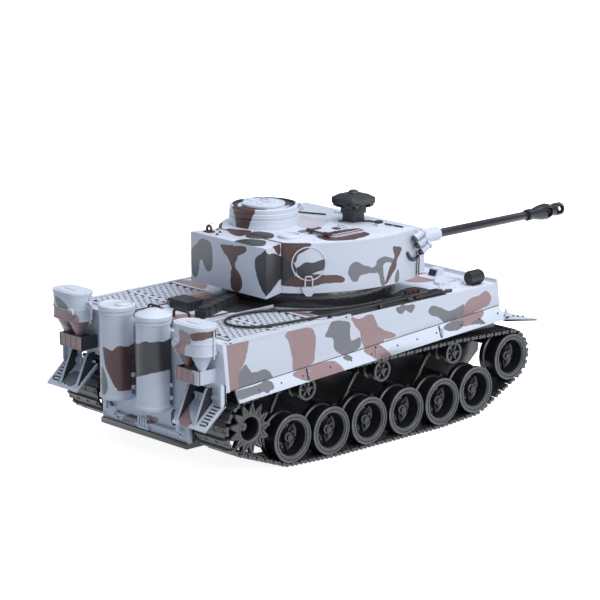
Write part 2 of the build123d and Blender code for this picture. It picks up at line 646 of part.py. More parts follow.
def turret_shell():
    """Turret walls and floor, with the thick front plate and the opening for the gun."""
    floor = TURRET_LOW + 1.6
    shell = turret_solid(0, TURRET_LOW, TURRET_HIGH) - turret_solid(-TURRET_WALL, floor, TURRET_HIGH + 1)
    shell += block((TURRET_FRONT, FRONT_PLATE), (-FRONT_HALF, FRONT_HALF), (80.6, 103.6))
    shell -= block((30, 70), (-ROTOR_HALF - 0.4, ROTOR_HALF + 0.4), (TURRET_LOW - 1, GUN_Z + GUN_PORT_RISE))
    shell -= Pos(TURRET_X, 0, TURRET_LOW) * Cylinder(26.0, 8)
    ledge = turret_solid(-TURRET_WALL, ROOF_LOW - 1.4, ROOF_LOW)
    ledge -= turret_solid(-TURRET_WALL - 1.6, ROOF_LOW - 2, ROOF_LOW + 1)
    return shell + ledge


LOADER_X = (-8.0, 16.0)
LOADER_Y = (-34.0, -13.0)


def turret_roof():
    """Roof plate let into the walls, open under the cupola and the loader's hatch."""
    roof = turret_solid(-TURRET_WALL, ROOF_LOW, TURRET_HIGH)
    roof -= Pos(CUPOLA_X, CUPOLA_Y, TURRET_HIGH) * Cylinder(CUPOLA_BORE, 8)
    roof -= block((LOADER_X[0] + 3, LOADER_X[1] - 3), (LOADER_Y[0] + 3, LOADER_Y[1] - 3), (100, 110))
    return roof


def stowage_bin():
    """Box across the back of the turret, narrower where it meets the turret."""
    wall, front = 1.4, -33.0
    neck = TURRET_OVAL_X - TURRET_OVAL[0] * (1 - (BIN_NECK_HALF / TURRET_OVAL[1]) ** 2) ** 0.5
    taper = (BIN_REAR_HALF - BIN_NECK_HALF) / (neck - BIN_REAR)

    def box(inset):
        x_rear, x_front = BIN_REAR + inset, front - inset
        rear_half, front_half = [BIN_REAR_HALF - taper * (x - BIN_REAR) - inset for x in (x_rear, x_front)]
        outline = Polyline((x_rear, -rear_half), (x_front, -front_half), (x_front, front_half), (x_rear, rear_half),
                           close=True)
        low, high = TURRET_LOW + inset, TURRET_HIGH - inset
        return Pos(0, 0, low) * extrude(make_face(outline), high - low, dir=(0, 0, 1))

    return box(0) - box(wall) - turret_solid(0, TURRET_LOW - 1, TURRET_HIGH + 1)


def turret_ring():
    """Black bearing ring: wide flange under the turret and a neck through the deck, with a retaining lip."""
    ring = Cylinder(RING_R, TURRET_LOW - DECK_TOP - 0.3, align=(Align.CENTER, Align.CENTER, Align.MIN))
    ring = Pos(TURRET_X, 0, DECK_TOP + 0.3) * ring
    neck_low = DECK_TOP - 5.2
    ring += rod(RING_NECK_R, (TURRET_X, 0, neck_low), (TURRET_X, 0, DECK_TOP + 1))
    lip_top = DECK_TOP - DECK_THICK - 0.3
    ring += rod(RING_NECK_R + 2.5, (TURRET_X, 0, neck_low), (TURRET_X, 0, lip_top))
    return ring - rod(26.0, (TURRET_X, 0, 50), (TURRET_X, 0, 90))


CUPOLA_X, CUPOLA_Y = -7.9, 19.7
CUPOLA_R = 18.4
CUPOLA_BORE = 9.9
CUPOLA_TOP = 116.0


def cupola():
    """Commander's cupola: a drum with a stepped collar, open in the middle."""
    profile = [
        (CUPOLA_BORE, TURRET_HIGH), (CUPOLA_R, TURRET_HIGH), (CUPOLA_R - 0.2, 110.6), (CUPOLA_R - 0.9, 111.6),
        (CUPOLA_R - 0.6, 112.3), (CUPOLA_R - 0.6, 114.2), (CUPOLA_R - 1.2, 114.8), (CUPOLA_R - 1.2, 115.6),
        (CUPOLA_R - 1.8, CUPOLA_TOP), (14.6, CUPOLA_TOP), (14.2, 115.2), (CUPOLA_BORE, 115.2),
    ]
    drum = revolve(make_face(Polyline(*[(r, 0, z) for r, z in profile], close=True)), axis=Axis.Z)
    return Pos(CUPOLA_X, CUPOLA_Y, 0) * drum


def cupola_hatch():
    """Round lid of the cupola with its hinge lug and grab handle."""
    low, radius = 115.4, 11.4
    lid = Pos(CUPOLA_X, CUPOLA_Y, low) * Cylinder(radius, 1.3, align=(Align.CENTER, Align.CENTER, Align.MIN))
    top = low + 1.3
    hinge_y, hinge_z = CUPOLA_Y + CUPOLA_HINGE, low + 0.9
    lid += block((CUPOLA_X - 2.4, CUPOLA_X + 2.4), (CUPOLA_Y + 8.5, hinge_y), (low, top + 0.4))
    lid += rod(0.9, (CUPOLA_X - 3.2, hinge_y, hinge_z), (CUPOLA_X + 3.2, hinge_y, hinge_z))
    handle_y = CUPOLA_Y - 4.0
    for x in (CUPOLA_X - 3.4, CUPOLA_X + 2.2):
        lid += block((x, x + 1.2), (handle_y - 0.6, handle_y + 0.6), (top - 0.1, top + 2.0))
    lid += block((CUPOLA_X - 3.4, CUPOLA_X + 3.4), (handle_y - 0.6, handle_y + 0.6), (top + 1.2, top + 2.2))
    return lid


CUPOLA_HINGE = 12.6


def loader_hatch():
    """Loader's lid: a rounded plate with two hinge lugs, over its opening in the roof."""
    low = TURRET_HIGH + 0.15
    (x_low, x_high), (y_low, y_high) = LOADER_X, LOADER_Y
    plate = RectangleRounded(x_high - x_low, y_high - y_low, 4.0)
    lid = Pos((x_low + x_high) / 2, (y_low + y_high) / 2, low) * extrude(plate, 1.6)
    for y in (y_low + 4.0, y_high - 4.0):
        lid += block((x_low - 0.8, x_low + 4.0), (y - 1.2, y + 1.2), (low + 0.4, low + 2.6))
        lid += rod(1.1, (x_low - 0.8, y - 1.8, low + 1.5), (x_low - 0.8, y + 1.8, low + 1.5))
    handle = block((x_high - 8.0, x_high - 6.8), (-27.0, -20.0), (low + 1.5, low + 3.2))
    return lid + handle


def escape_hatch():
    """Round hatch on the turret's right rear side, with its latch below."""
    a, b = TURRET_OVAL
    turn = radians(-135.4)
    x, y = TURRET_OVAL_X + a * cos(turn), b * sin(turn)
    outwards = Vector((x - TURRET_OVAL_X) / a ** 2, y / b ** 2, 0).normalized()
    centre = Vector(x, y, 95.3)
    disc = rod(8.9, centre - outwards * 2, centre + outwards * 1.2)
    low = Vector(x, y, 82.6)
    latch = rod(3.4, low - outwards * 2, low + outwards * 1.6)
    latch -= block((-80, 60), (-80, 60), (83.2, 90))
    return joined([disc, latch]) - turret_solid(0, TURRET_LOW - 5, TURRET_HIGH + 5)


def smoke_dischargers():
    """Three tubes in a raked stack on the turret's right front, and the same on the left."""
    bases = [(35.0, -49.4, 101.0), (37.2, -49.2, 97.2), (40.0, -49.0, 93.2)]
    aim = Vector(0.85, -0.10, 0.5).normalized()
    length, radius = 8.0, 2.1
    pieces = Part()
    for base in bases:
        start = Vector(*base)
        pieces += rod(radius, start, start + aim * length)
    top, bottom = Vector(*bases[0]) + aim * 3, Vector(*bases[2]) + aim * 3
    pieces += rod(1.1, top, bottom)
    pieces += rod(1.3, (42.0, -44.0, 98.6), (42.0, -48.5, 98.6))
    pieces -= turret_solid(0, TURRET_LOW - 5, TURRET_HIGH + 5)
    return both(pieces)


def turret_fittings():
    """Roof ventilator cap, lifting eyes and the loader's periscope hood."""
    top = TURRET_HIGH
    vent = Pos(-22.5, -16.3, top) * Cylinder(6.2, 1.6, align=(Align.CENTER, Align.CENTER, Align.MIN))
    eyes = []
    for x, y in ((-44.5, 21.5), (28.0, 30.0)):
        eye = rod(2.2, (x, y - 0.9, top + 1.4), (x, y + 0.9, top + 1.4))
        eyes.append(eye - block((x - 5, x + 5), (y - 5, y + 5), (top - 5, top)))
    hood = block((29.0, 34.0), (-29.0, -25.0), (top, top + 2.6))
    return joined([vent] + eyes + [hood])


POD_X, POD_Y = 30.3, -8.9
POD_TOP = 122.3


def pod_stem():
    """Square foot that the sensor pod turns on."""
    return block((POD_X - 4.5, POD_X + 4.5), (POD_Y - 4.5, POD_Y + 4.5), (TURRET_HIGH, 110.0))


def sensor_pod():
    """Turning pod: a wide ribbed head with sloping cheeks and a round cap."""
    low, waist, shoulder = 112.4, 116.8, 120.2
    half = 8.6
    head = Pos(POD_X, POD_Y, (low + waist) / 2) * Box(2 * half, 2 * half, waist - low)
    roof = loft([
        Pos(POD_X, POD_Y, waist) * Rectangle(2 * half, 2 * half),
        Pos(POD_X, POD_Y, shoulder) * Rectangle(2 * half - 7, 2 * half - 7),
    ], ruled=True)
    neck = Pos(POD_X, POD_Y, (110.1 + low) / 2) * Box(11, 11, low - 110.1)
    cap = rod(2.9, (POD_X, POD_Y, shoulder), (POD_X, POD_Y, POD_TOP - 0.8))
    cap += rod(2.2, (POD_X, POD_Y, POD_TOP - 0.8), (POD_X, POD_Y, POD_TOP))
    port = rod(2.2, (POD_X - 3.5, POD_Y - half - 1, 114.4), (POD_X - 3.5, POD_Y - half + 2.5, 114.4))
    corner = half - 4.6
    notches = joined([
        block((POD_X + sx * (half + corner) / 2 - 2.4, POD_X + sx * (half + corner) / 2 + 2.4),
              (POD_Y + sy * (half + corner) / 2 - 2.4, POD_Y + sy * (half + corner) / 2 + 2.4),
              (low - 1, low + 1.2))
        for sx in (-1, 1) for sy in (-1, 1)])
    return head + roof + neck + cap - port - notches


# ---------------------------------------------------------------- gun
SLEEVE_END = 103.0
BARREL_R = 2.4
BRAKE_START = 175.5


def mantlet():
    """Round rotor in the front opening, with the white sleeve that carries the barrel."""
    rotor = rod(ROTOR_R, (TRUNNION_X, -ROTOR_HALF, GUN_Z), (TRUNNION_X, ROTOR_HALF, GUN_Z))
    sleeve = rod(5.4, (TRUNNION_X + 4, 0, GUN_Z), (74.0, 0, GUN_Z), 3.9)
    sleeve += rod(3.9, (74.0, 0, GUN_Z), (SLEEVE_END, 0, GUN_Z))
    bore = rod(BARREL_R, (88.0, 0, GUN_Z), (SLEEVE_END + 1, 0, GUN_Z))
    return rotor + sleeve - bore


def gun_barrel():
    """Barrel tube from inside the sleeve to the muzzle brake."""
    return rod(BARREL_R, (88.0, 0, GUN_Z), (BRAKE_START + 4.0, 0, GUN_Z))


def muzzle_brake():
    """Double-baffle muzzle brake: collar, flared bell and end ring, with side windows."""
    profile = [
        (BRAKE_START, 0), (BRAKE_START, 3.3), (178.6, 3.3), (178.6, 2.9), (181.0, 3.2), (187.0, 4.4),
        (191.0, 4.7), (193.4, 4.2), (194.6, 3.3), (197.0, 3.3), (199.0, 3.7), (203.4, 3.7), (GUN_TIP, 3.2),
        (GUN_TIP, 0),
    ]
    body = revolve(make_face(Polyline(*[(x, 0, r) for x, r in profile], close=True)), axis=Axis.X)
    body = Pos(0, 0, GUN_Z) * body
    body -= rod(BARREL_R, (BRAKE_START - 1, 0, GUN_Z), (BRAKE_START + 4.0, 0, GUN_Z))
    body -= rod(1.5, (BRAKE_START, 0, GUN_Z), (GUN_TIP + 1, 0, GUN_Z))
    for low, high, tall in ((188.6, 193.2, 5.2), (197.6, 202.6, 4.6)):
        window = extrude(RectangleRounded(high - low, tall, 1.6), 12, both=True)
        body -= Pos((low + high) / 2, 0, GUN_Z) * Rot(90, 0, 0) * window
    return body


# ---------------------------------------------------------------- assembly
def assemble():
    """Fill the table of nodes."""
    place_wheels("road_wheel", road_wheel(), ROAD_WHEELS, WHEEL_FACE)
    place_wheels("idler_wheel", road_wheel(), [IDLER], WHEEL_FACE)
    place_wheels("return_roller", return_roller(), ROLLERS, ROLLER_FACE)
    place_wheels("drive_sprocket", drive_sprocket(), [SPROCKET], SPROCKET_FACE)
    right_track = track()
    nodes["track_right"] = right_track
    nodes["track_left"] = left_of(right_track)
    nodes["suspension_arms"] = both(suspension())
    nodes["lower_hull"] = lower_hull()
    nodes["upper_hull"] = upper_hull()
    nodes["rear_plate"] = rear_plate()
    nodes["side_skirts"] = both(skirt())
    nodes["front_fenders"] = both(front_fender())
    nodes["mudflaps"] = both(mudflap())
    nodes["exhaust_tubes"] = exhaust_tube(-1) + exhaust_tube(1)
    nodes["air_filters"] = both(air_filter())
    nodes["engine_hatch"] = engine_hatch()
    nodes["deck_grilles"] = both(deck_grille())
    nodes["tow_cable"] = tow_cable()
    nodes["deck_tools"] = deck_tools()
    nodes["headlights"] = both(headlight())
    nodes["hull_hatches"] = hull_hatches()
    nodes["battery_cover"] = battery_cover()
    nodes["battery_pack"] = battery_pack()
    nodes["circuit_board"] = circuit_board()
    nodes["drive_gearbox"] = drive_gearbox()
    nodes["motors"] = motors()
    nodes["power_switch"] = power_switch()
    nodes["screws"] = screws()
    nodes["turret_shell"] = turret_shell()
    nodes["turret_roof"] = turret_roof()
    nodes["stowage_bin"] = stowage_bin()
    nodes["turret_ring"] = turret_ring()
    nodes["cupola"] = cupola()
    nodes["cupola_hatch"] = cupola_hatch()
    nodes["loader_hatch"] = loader_hatch()
    nodes["escape_hatch"] = escape_hatch()
    nodes["smoke_dischargers"] = smoke_dischargers()
    nodes["turret_fittings"] = turret_fittings()
    nodes["turret_fittings"] += pod_stem()
    nodes["sensor_pod"] = sensor_pod()
    nodes["mantlet"] = mantlet()
    nodes["gun_barrel"] = gun_barrel()
    nodes["muzzle_brake"] = muzzle_brake()


assemble()
os.makedirs("parts", exist_ok=True)
for node_name, node_shape in nodes.items():
    export_step(Pos(-X_MIDDLE, 0, 0) * node_shape, f"parts/{node_name}.step")
print(len(nodes), "nodes")
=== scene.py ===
"""Looks of a radio-controlled heavy tank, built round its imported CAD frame.

Shapes are made in hull millimetres: X forward, Y to the left, Z up, zero on the ground under the middle of
the hull. TO_FRAME carries them into the frame's metres, so every piece's object sits at the origin.
"""

import math

import bmesh
import bpy
from mathutils import Matrix, Vector


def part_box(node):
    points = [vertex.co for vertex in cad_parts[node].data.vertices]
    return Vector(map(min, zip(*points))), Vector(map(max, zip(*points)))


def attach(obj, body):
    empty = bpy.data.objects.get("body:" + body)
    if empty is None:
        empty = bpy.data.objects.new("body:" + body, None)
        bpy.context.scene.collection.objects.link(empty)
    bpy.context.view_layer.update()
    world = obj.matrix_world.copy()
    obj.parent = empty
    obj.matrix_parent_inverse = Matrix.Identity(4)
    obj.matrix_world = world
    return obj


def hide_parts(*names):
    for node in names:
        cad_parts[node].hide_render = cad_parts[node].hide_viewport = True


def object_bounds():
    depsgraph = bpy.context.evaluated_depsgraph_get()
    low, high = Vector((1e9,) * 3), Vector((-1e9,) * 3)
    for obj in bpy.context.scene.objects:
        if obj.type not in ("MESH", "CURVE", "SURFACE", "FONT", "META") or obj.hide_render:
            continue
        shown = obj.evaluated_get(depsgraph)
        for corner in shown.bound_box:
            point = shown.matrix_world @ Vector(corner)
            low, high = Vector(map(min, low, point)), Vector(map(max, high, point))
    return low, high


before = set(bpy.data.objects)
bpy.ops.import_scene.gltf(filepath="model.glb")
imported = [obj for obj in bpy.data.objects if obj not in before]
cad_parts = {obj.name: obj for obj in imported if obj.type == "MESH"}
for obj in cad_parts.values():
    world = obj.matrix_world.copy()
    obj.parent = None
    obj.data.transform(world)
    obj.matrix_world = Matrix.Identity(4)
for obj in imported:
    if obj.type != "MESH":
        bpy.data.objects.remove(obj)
cad_low, cad_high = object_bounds()

# ---------------------------------------------------------------- places taken from the frame
MM = 0.001
TURRET_X = 6.0                      # the turret turns about this place on the hull
ring_low, ring_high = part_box("turret_ring")
HULL_X = (ring_low.x + ring_high.x) / 2 - TURRET_X * MM
TO_FRAME = Matrix.Translation((HULL_X, 0, 0)) @ Matrix.Diagonal((MM, MM, MM, 1))
TO_HULL = TO_FRAME.inverted()


def span(node):
    """Lowest and highest corner of a CAD node, in hull millimetres."""
    low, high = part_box(node)
    return TO_HULL @ low, TO_HULL @ high


def centre(node):
    """Middle of a CAD node's box, in hull millimetres."""
    low, high = span(node)
    return (low + high) / 2


SIDES = {"right": -1, "left": 1}
wheel_low, wheel_high = span("road_wheel_2_right")
WHEEL_R = (wheel_high.z - wheel_low.z) / 2
WHEEL_FACE = -wheel_low.y
WHEEL_WIDTH = wheel_high.y - wheel_low.y
roller_low, roller_high = span("return_roller_1_right")
ROLLER_R = (roller_high.z - roller_low.z) / 2
ROLLER_FACE = -roller_low.y
ROLLER_WIDTH = roller_high.y - roller_low.y
DECK = span("upper_hull")[1].z - 2.0        # the front lip stands 2 mm above the deck
HULL_REAR, HULL_FRONT = span("upper_hull")[0].x, 88.5
TURRET_LOW, TURRET_HIGH = span("turret_shell")[0].z, span("turret_shell")[1].z

# ---------------------------------------------------------------- colours
WHITE = (0.60, 0.635, 0.73)
GREY = (0.160, 0.163, 0.182)
MAUVE = (0.315, 0.205, 0.213)
BROWN = (0.085, 0.038, 0.038)
CHARCOAL = (0.030, 0.031, 0.037)
PINK = (0.50, 0.47, 0.53)
BLACK = (0.012, 0.012, 0.014)
# grey with painted sheen: lighter bands on black wheel rims, hubs, bosses and track connectors stand in for
# their gloss; it is also the sprockets' grey
GREY_AND_SHEEN = (0.050, 0.051, 0.060)


# ---------------------------------------------------------------- mesh helpers
class Piece:
    """One mesh piece, gathered from closed shapes in hull millimetres."""

    def __init__(self, name, body, *materials):
        self.name, self.body, self.materials = name, body, materials
        self.mesh = bmesh.new()

    def faces(self, points, loops, slot=0):
        """Adds a closed shape from its points and the loops of its faces."""
        made = [self.mesh.verts.new(point) for point in points]
        for loop in loops:
            face = self.mesh.faces.new([made[index] for index in loop])
            face.material_index = slot
        return made

    def hexa(self, bottom, top, slot=0):
        """Shape with four corners below and four above."""
        loops = [(3, 2, 1, 0), (4, 5, 6, 7)]
        loops += [(a, (a + 1) % 4, (a + 1) % 4 + 4, a + 4) for a in range(4)]
        return self.faces([*bottom, *top], loops, slot)

    def box(self, low, high, slot=0, turn=None):
        """Box between two corners, turned about its middle by a matrix."""
        (x0, y0, z0), (x1, y1, z1) = low, high
        made = self.hexa(
            [(x0, y0, z0), (x1, y0, z0), (x1, y1, z0), (x0, y1, z0)],
            [(x0, y0, z1), (x1, y0, z1), (x1, y1, z1), (x0, y1, z1)], slot)
        if turn is not None:
            middle = Vector(((x0 + x1) / 2, (y0 + y1) / 2, (z0 + z1) / 2))
            for vert in made:
                vert.co = middle + turn @ (vert.co - middle)
        return made

    def prism(self, outline, place, slot=0):
        """Closed outline of (u, v) points; place(u, v, end) gives each point for end 0 and end 1."""
        count = len(outline)
        points = [place(u, v, end) for end in (0, 1) for u, v in outline]
        loops = [tuple(reversed(range(count))), tuple(range(count, 2 * count))]
        loops += [(a, (a + 1) % count, (a + 1) % count + count, a + count) for a in range(count)]
        return self.faces(points, loops, slot)

    def side_prism(self, outline, y_low, y_high, slot=0):
        """Outline of (x, z) points between two Y values."""
        return self.prism(outline, lambda x, z, end: (x, y_high if end else y_low, z), slot)

    def flat_prism(self, outline, z_low, z_high, slot=0):
        """Outline of (x, y) points between two heights."""
        return self.prism(outline, lambda x, y, end: (x, y, z_high if end else z_low), slot)

    def lathe(self, profile, origin, axis, segments=48, slots=None, closed=False):
        """Turns (radius, distance) points about an axis; slots gives a material for each stretch."""
        frame_of_axis = Vector(axis).normalized().to_track_quat("Z", "Y").to_matrix()
        start, rings = Vector(origin), []
        for radius, distance in profile:
            if radius < 1e-6:
                rings.append([self.mesh.verts.new(start + frame_of_axis @ Vector((0, 0, distance)))])
                continue
            turns = [2 * math.pi * step / segments for step in range(segments)]
            ring = [Vector((radius * math.cos(a), radius * math.sin(a), distance)) for a in turns]
            rings.append([self.mesh.verts.new(start + frame_of_axis @ point) for point in ring])
        pairs = list(zip(rings, rings[1:] + rings[:1])) if closed else list(zip(rings, rings[1:]))
        for number, (near, far) in enumerate(pairs):
            slot = slots[number] if slots else 0
            for step in range(segments):
                after = (step + 1) % segments
                corners = [near[step % len(near)], near[after % len(near)]]
                corners += [far[after % len(far)], far[step % len(far)]]
                face = self.mesh.faces.new(list(dict.fromkeys(corners)))
                face.material_index = slot

    def rod(self, radius, start, end, segments=24, end_radius=None, slot=0):
        """Round bar or cone with flat ends."""
        axis = Vector(end) - Vector(start)
        end_radius = radius if end_radius is None else end_radius
        profile = [(0, 0), (radius, 0), (end_radius, axis.length), (0, axis.length)]
        self.lathe(profile, start, axis, segments, [slot] * 3)

    def tube(self, points, radius, sides=10, slot=0, closed=False):
        """Round tube along a line of points."""
        points = [Vector(point) for point in points]
        rings, count = [], len(points)
        normal = None
        for number, point in enumerate(points):
            before = points[number - 1] if closed or number else point
            after = points[(number + 1) % count] if closed or number < count - 1 else point
            heading = (after - before).normalized()
            if normal is None:
                normal = heading.orthogonal().normalized()
            normal = (normal - heading * normal.dot(heading)).normalized()
            across = heading.cross(normal)
            turns = [2 * math.pi * step / sides for step in range(sides)]
            ring = [point + radius * (normal * math.cos(a) + across * math.sin(a)) for a in turns]
            rings.append([self.mesh.verts.new(place) for place in ring])
        pairs = list(zip(rings, rings[1:] + rings[:1])) if closed else list(zip(rings, rings[1:]))
        for near, far in pairs:
            for step in range(sides):
                after = (step + 1) % sides
                face = self.mesh.faces.new([near[step], near[after], far[after], far[step]])
                face.material_index = slot
        if not closed:
            self.mesh.faces.new(list(reversed(rings[0]))).material_index = slot
            self.mesh.faces.new(rings[-1]).material_index = slot

    def dome(self, radius, height, origin, axis, segments=16, slot=0):
        """Low round head on a surface, such as a rivet."""
        profile = [(0, -0.05), (radius, -0.05), (radius, height * 0.35), (radius * 0.72, height * 0.85),
                   (0, height)]
        self.lathe(profile, origin, axis, segments, [slot] * 4)

    def mirrored(self):
        """Adds the mirror image on the other side of the hull."""
        made = bmesh.ops.duplicate(self.mesh,
                                   geom=self.mesh.verts[:] + self.mesh.edges[:] + self.mesh.faces[:])
        for item in made["geom"]:
            if isinstance(item, bmesh.types.BMVert):
                item.co.y = -item.co.y
        copied = [item for item in made["geom"] if isinstance(item, bmesh.types.BMFace)]
        bmesh.ops.reverse_faces(self.mesh, faces=copied)

    def finish(self, *replaced, bevel=0.15, segments=2, sharp=38, flip=False, like=None):
        """Makes the object, rides it on its body and lets it stand for CAD nodes in their finish."""
        if flip:
            for vert in self.mesh.verts:
                vert.co.y = -vert.co.y
            bmesh.ops.reverse_faces(self.mesh, faces=self.mesh.faces[:])
        bmesh.ops.recalc_face_normals(self.mesh, faces=self.mesh.faces[:])
        for face in self.mesh.faces:
            face.smooth = True
        for edge in self.mesh.edges:
            folded = len(edge.link_faces) != 2 or edge.calc_face_angle(0) > math.radians(sharp)
            edge.smooth = not folded
        self.mesh.transform(TO_FRAME)
        data = bpy.data.meshes.new(self.name)
        self.mesh.to_mesh(data)
        self.mesh.free()
        for material in self.materials:
            data.materials.append(material)
        piece = bpy.data.objects.new(self.name, data)
        bpy.context.scene.collection.objects.link(piece)
        if bevel:
            round_edges(piece, bevel, segments, sharp)
        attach(piece, self.body)
        if replaced:
            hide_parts(*replaced)
        return piece


def round_edges(piece, width, segments=2, sharp=38):
    """Gives a piece moulded edges of this width in millimetres."""
    bevel = piece.modifiers.new("edges", "BEVEL")
    bevel.width = width * MM
    bevel.segments = segments
    bevel.limit_method = "ANGLE"
    bevel.angle_limit = math.radians(sharp)
    bevel.harden_normals = True
    bevel.use_clamp_overlap = True


def circle(radius, count, start=0.0):
    """Points of a circle in a plane."""
    turns = [start + 2 * math.pi * step / count for step in range(count)]
    return [(radius * math.cos(turn), radius * math.sin(turn)) for turn in turns]


def rounded(low, high, radius, steps=5):
    """Outline of a rectangle with rounded corners, from its low and high corners."""
    (u0, v0), (u1, v1) = low, high
    corners = [(u1 - radius, v1 - radius, 0), (u0 + radius, v1 - radius, 90),
               (u0 + radius, v0 + radius, 180), (u1 - radius, v0 + radius, 270)]
    points = []
    for u, v, begin in corners:
        for step in range(steps + 1):
            turn = math.radians(begin + 90 * step / steps)
            points.append((u + radius * math.cos(turn), v + radius * math.sin(turn)))
    return points


# ---------------------------------------------------------------- material helpers
class Shader:
    """A node material with a few shortcuts."""

    def __init__(self, name, roughness=0.4, metallic=0.0, coat=0.0):
        self.material = bpy.data.materials.new(name)
        self.material.use_nodes = True
        self.tree = self.material.node_tree
        self.surface = self.tree.nodes["Principled BSDF"]
        self.surface.inputs["Metallic"].default_value = metallic
        self.surface.inputs["Roughness"].default_value = roughness
        self.surface.inputs["Coat Weight"].default_value = coat
        self.surface.inputs["Coat Roughness"].default_value = 0.25
        self.place = self.node("ShaderNodeTexCoord").outputs["Object"]

    def node(self, kind, **settings):
        """New node with its settings and its input values, given by name or number."""
        made = self.tree.nodes.new(kind)
        for key, value in settings.items():
            if key == "inputs":
                for name, constant in value.items():
                    if isinstance(constant, bpy.types.NodeSocket):
                        self.tree.links.new(constant, made.inputs[name])
                    else:
                        made.inputs[name].default_value = constant
            else:
                setattr(made, key, value)
        return made

    def link(self, source, target):
        self.tree.links.new(source, target)

    def math(self, operation, *values, clamp=False):
        """Result of a Math node on numbers or sockets."""
        inputs = dict(enumerate(values))
        return self.node("ShaderNodeMath", operation=operation, use_clamp=clamp, inputs=inputs).outputs[0]

    def noise(self, scale, detail=2.0, roughness=0.5, place=None):
        """Noise value at so many cells a metre."""
        inputs = {"Vector": place or self.place, "Scale": scale, "Detail": detail, "Roughness": roughness}
        return self.node("ShaderNodeTexNoise", inputs=inputs).outputs["Fac"]

    def span(self, value, low, high):
        """Spreads a value from 0...1 to low...high."""
        inputs = {"Value": value, "To Min": low, "To Max": high}
        return self.node("ShaderNodeMapRange", inputs=inputs).outputs[0]

    def mix(self, share, first, second, blend="MIX"):
        """Colour mix."""
        made = self.node("ShaderNodeMix", data_type="RGBA", blend_type=blend)
        for index, value in ((0, share), (6, first), (7, second)):
            if isinstance(value, bpy.types.NodeSocket):
                self.link(value, made.inputs[index])
            else:
                made.inputs[index].default_value = (*value, 1) if isinstance(value, tuple) else value
        return made.outputs[2]

    def tint(self, colour, amount=0.06, scale=180):
        """A colour with slow moulding variation."""
        darker = tuple(channel * (1 - amount) for channel in colour)
        lighter = tuple(channel * (1 + amount) for channel in colour)
        return self.mix(self.noise(scale, 3), darker, lighter)

    def finish(self, colour, grain=0.02, grain_scale=5000, rough=(0.35, 0.5)):
        """Links colour, grain and roughness variation to the surface."""
        self.link(colour, self.surface.inputs["Base Color"])
        self.link(self.span(self.noise(900, 3), *rough), self.surface.inputs["Roughness"])
        height = self.noise(grain_scale, 2)
        bump = self.node("ShaderNodeBump", inputs={"Height": height, "Strength": 1.0,
                                                   "Distance": grain * MM})
        self.link(bump.outputs[0], self.surface.inputs["Normal"])
        return self.material


def plain(name, colour, rough=(0.35, 0.5), grain=0.02, metallic=0.0, coat=0.0, amount=0.06):
    """Moulded or painted finish of one colour with grain and slight variation."""
    shader = Shader(name, metallic=metallic, coat=coat)
    return shader.finish(shader.tint(colour, amount), grain=grain, rough=rough)


def polar_group():
    """Node group: share of a full turn about a centre, and the distance from it with its sign changed."""
    group = bpy.data.node_groups.new("polar", "ShaderNodeTree")
    group.interface.new_socket("Point", in_out="INPUT", socket_type="NodeSocketVector")
    group.interface.new_socket("Centre", in_out="INPUT", socket_type="NodeSocketVector")
    group.interface.new_socket("Share", in_out="OUTPUT", socket_type="NodeSocketFloat")
    group.interface.new_socket("Inwards", in_out="OUTPUT", socket_type="NodeSocketFloat")
    source, sink = group.nodes.new("NodeGroupInput"), group.nodes.new("NodeGroupOutput")

    def made(kind, operation, *sockets):
        node = group.nodes.new(kind)
        node.operation = operation
        for index, socket in enumerate(sockets):
            if isinstance(socket, float):
                node.inputs[index].default_value = socket
            else:
                group.links.new(socket, node.inputs[index])
        return node

    arm = made("ShaderNodeVectorMath", "SUBTRACT", source.outputs["Point"],
               source.outputs["Centre"]).outputs[0]
    away = made("ShaderNodeVectorMath", "LENGTH", arm).outputs["Value"]
    parts = group.nodes.new("ShaderNodeSeparateXYZ")
    group.links.new(arm, parts.inputs[0])
    turn = made("ShaderNodeMath", "ARCTAN2", parts.outputs[1], parts.outputs[0]).outputs[0]
    share = made("ShaderNodeMath", "MULTIPLY_ADD", turn, 0.5 / math.pi, 0.5).outputs[0]
    group.links.new(share, sink.inputs["Share"])
    group.links.new(made("ShaderNodeMath", "MULTIPLY", away, -1.0).outputs[0], sink.inputs["Inwards"])
    return group


POLAR = polar_group()


def smooth_outline(corners, steps=4):
    """Closed smooth line through the corners of a patch."""
    line, count = [], len(corners)
    for number in range(count):
        before, here, after, beyond = (Vector(corners[(number + shift) % count]) for shift in (-1, 0, 1, 2))
        for step in range(steps):
            t = step / steps
            bend = (2 * before - 5 * here + 4 * after - beyond) * t * t
            cubic = (3 * here - before - 3 * after + beyond) * t ** 3
            line.append((2 * here + (after - before) * t + bend + cubic) / 2)
    return line


def heart(line):
    """Place inside a patch from which its whole edge can be seen, or as much of it as possible."""
    low = Vector((min(p.x for p in line), min(p.y for p in line)))
    high = Vector((max(p.x for p in line), max(p.y for p in line)))
    best, best_score, cells = low, None, 9
    for column in range(1, cells):
        for row in range(1, cells):
            place = Vector((low.x + (high.x - low.x) * column / cells,
                            low.y + (high.y - low.y) * row / cells))
            arms = [point - place for point in line]
            turns = [a.x * b.y - a.y * b.x for a, b in zip(arms, arms[1:] + arms[:1])]
            total = sum(turns)
            hidden = sum(abs(turn) for turn in turns if turn * total < 0)
            score = -hidden * 1000 + min(arm.length for arm in arms)
            wound = sum(math.atan2(a.x * b.y - a.y * b.x, a.dot(b)) for a,
                        b in zip(arms, arms[1:] + arms[:1]))
            if abs(wound) > 5 and (best_score is None or score > best_score):
                best, best_score = place, score
    return best


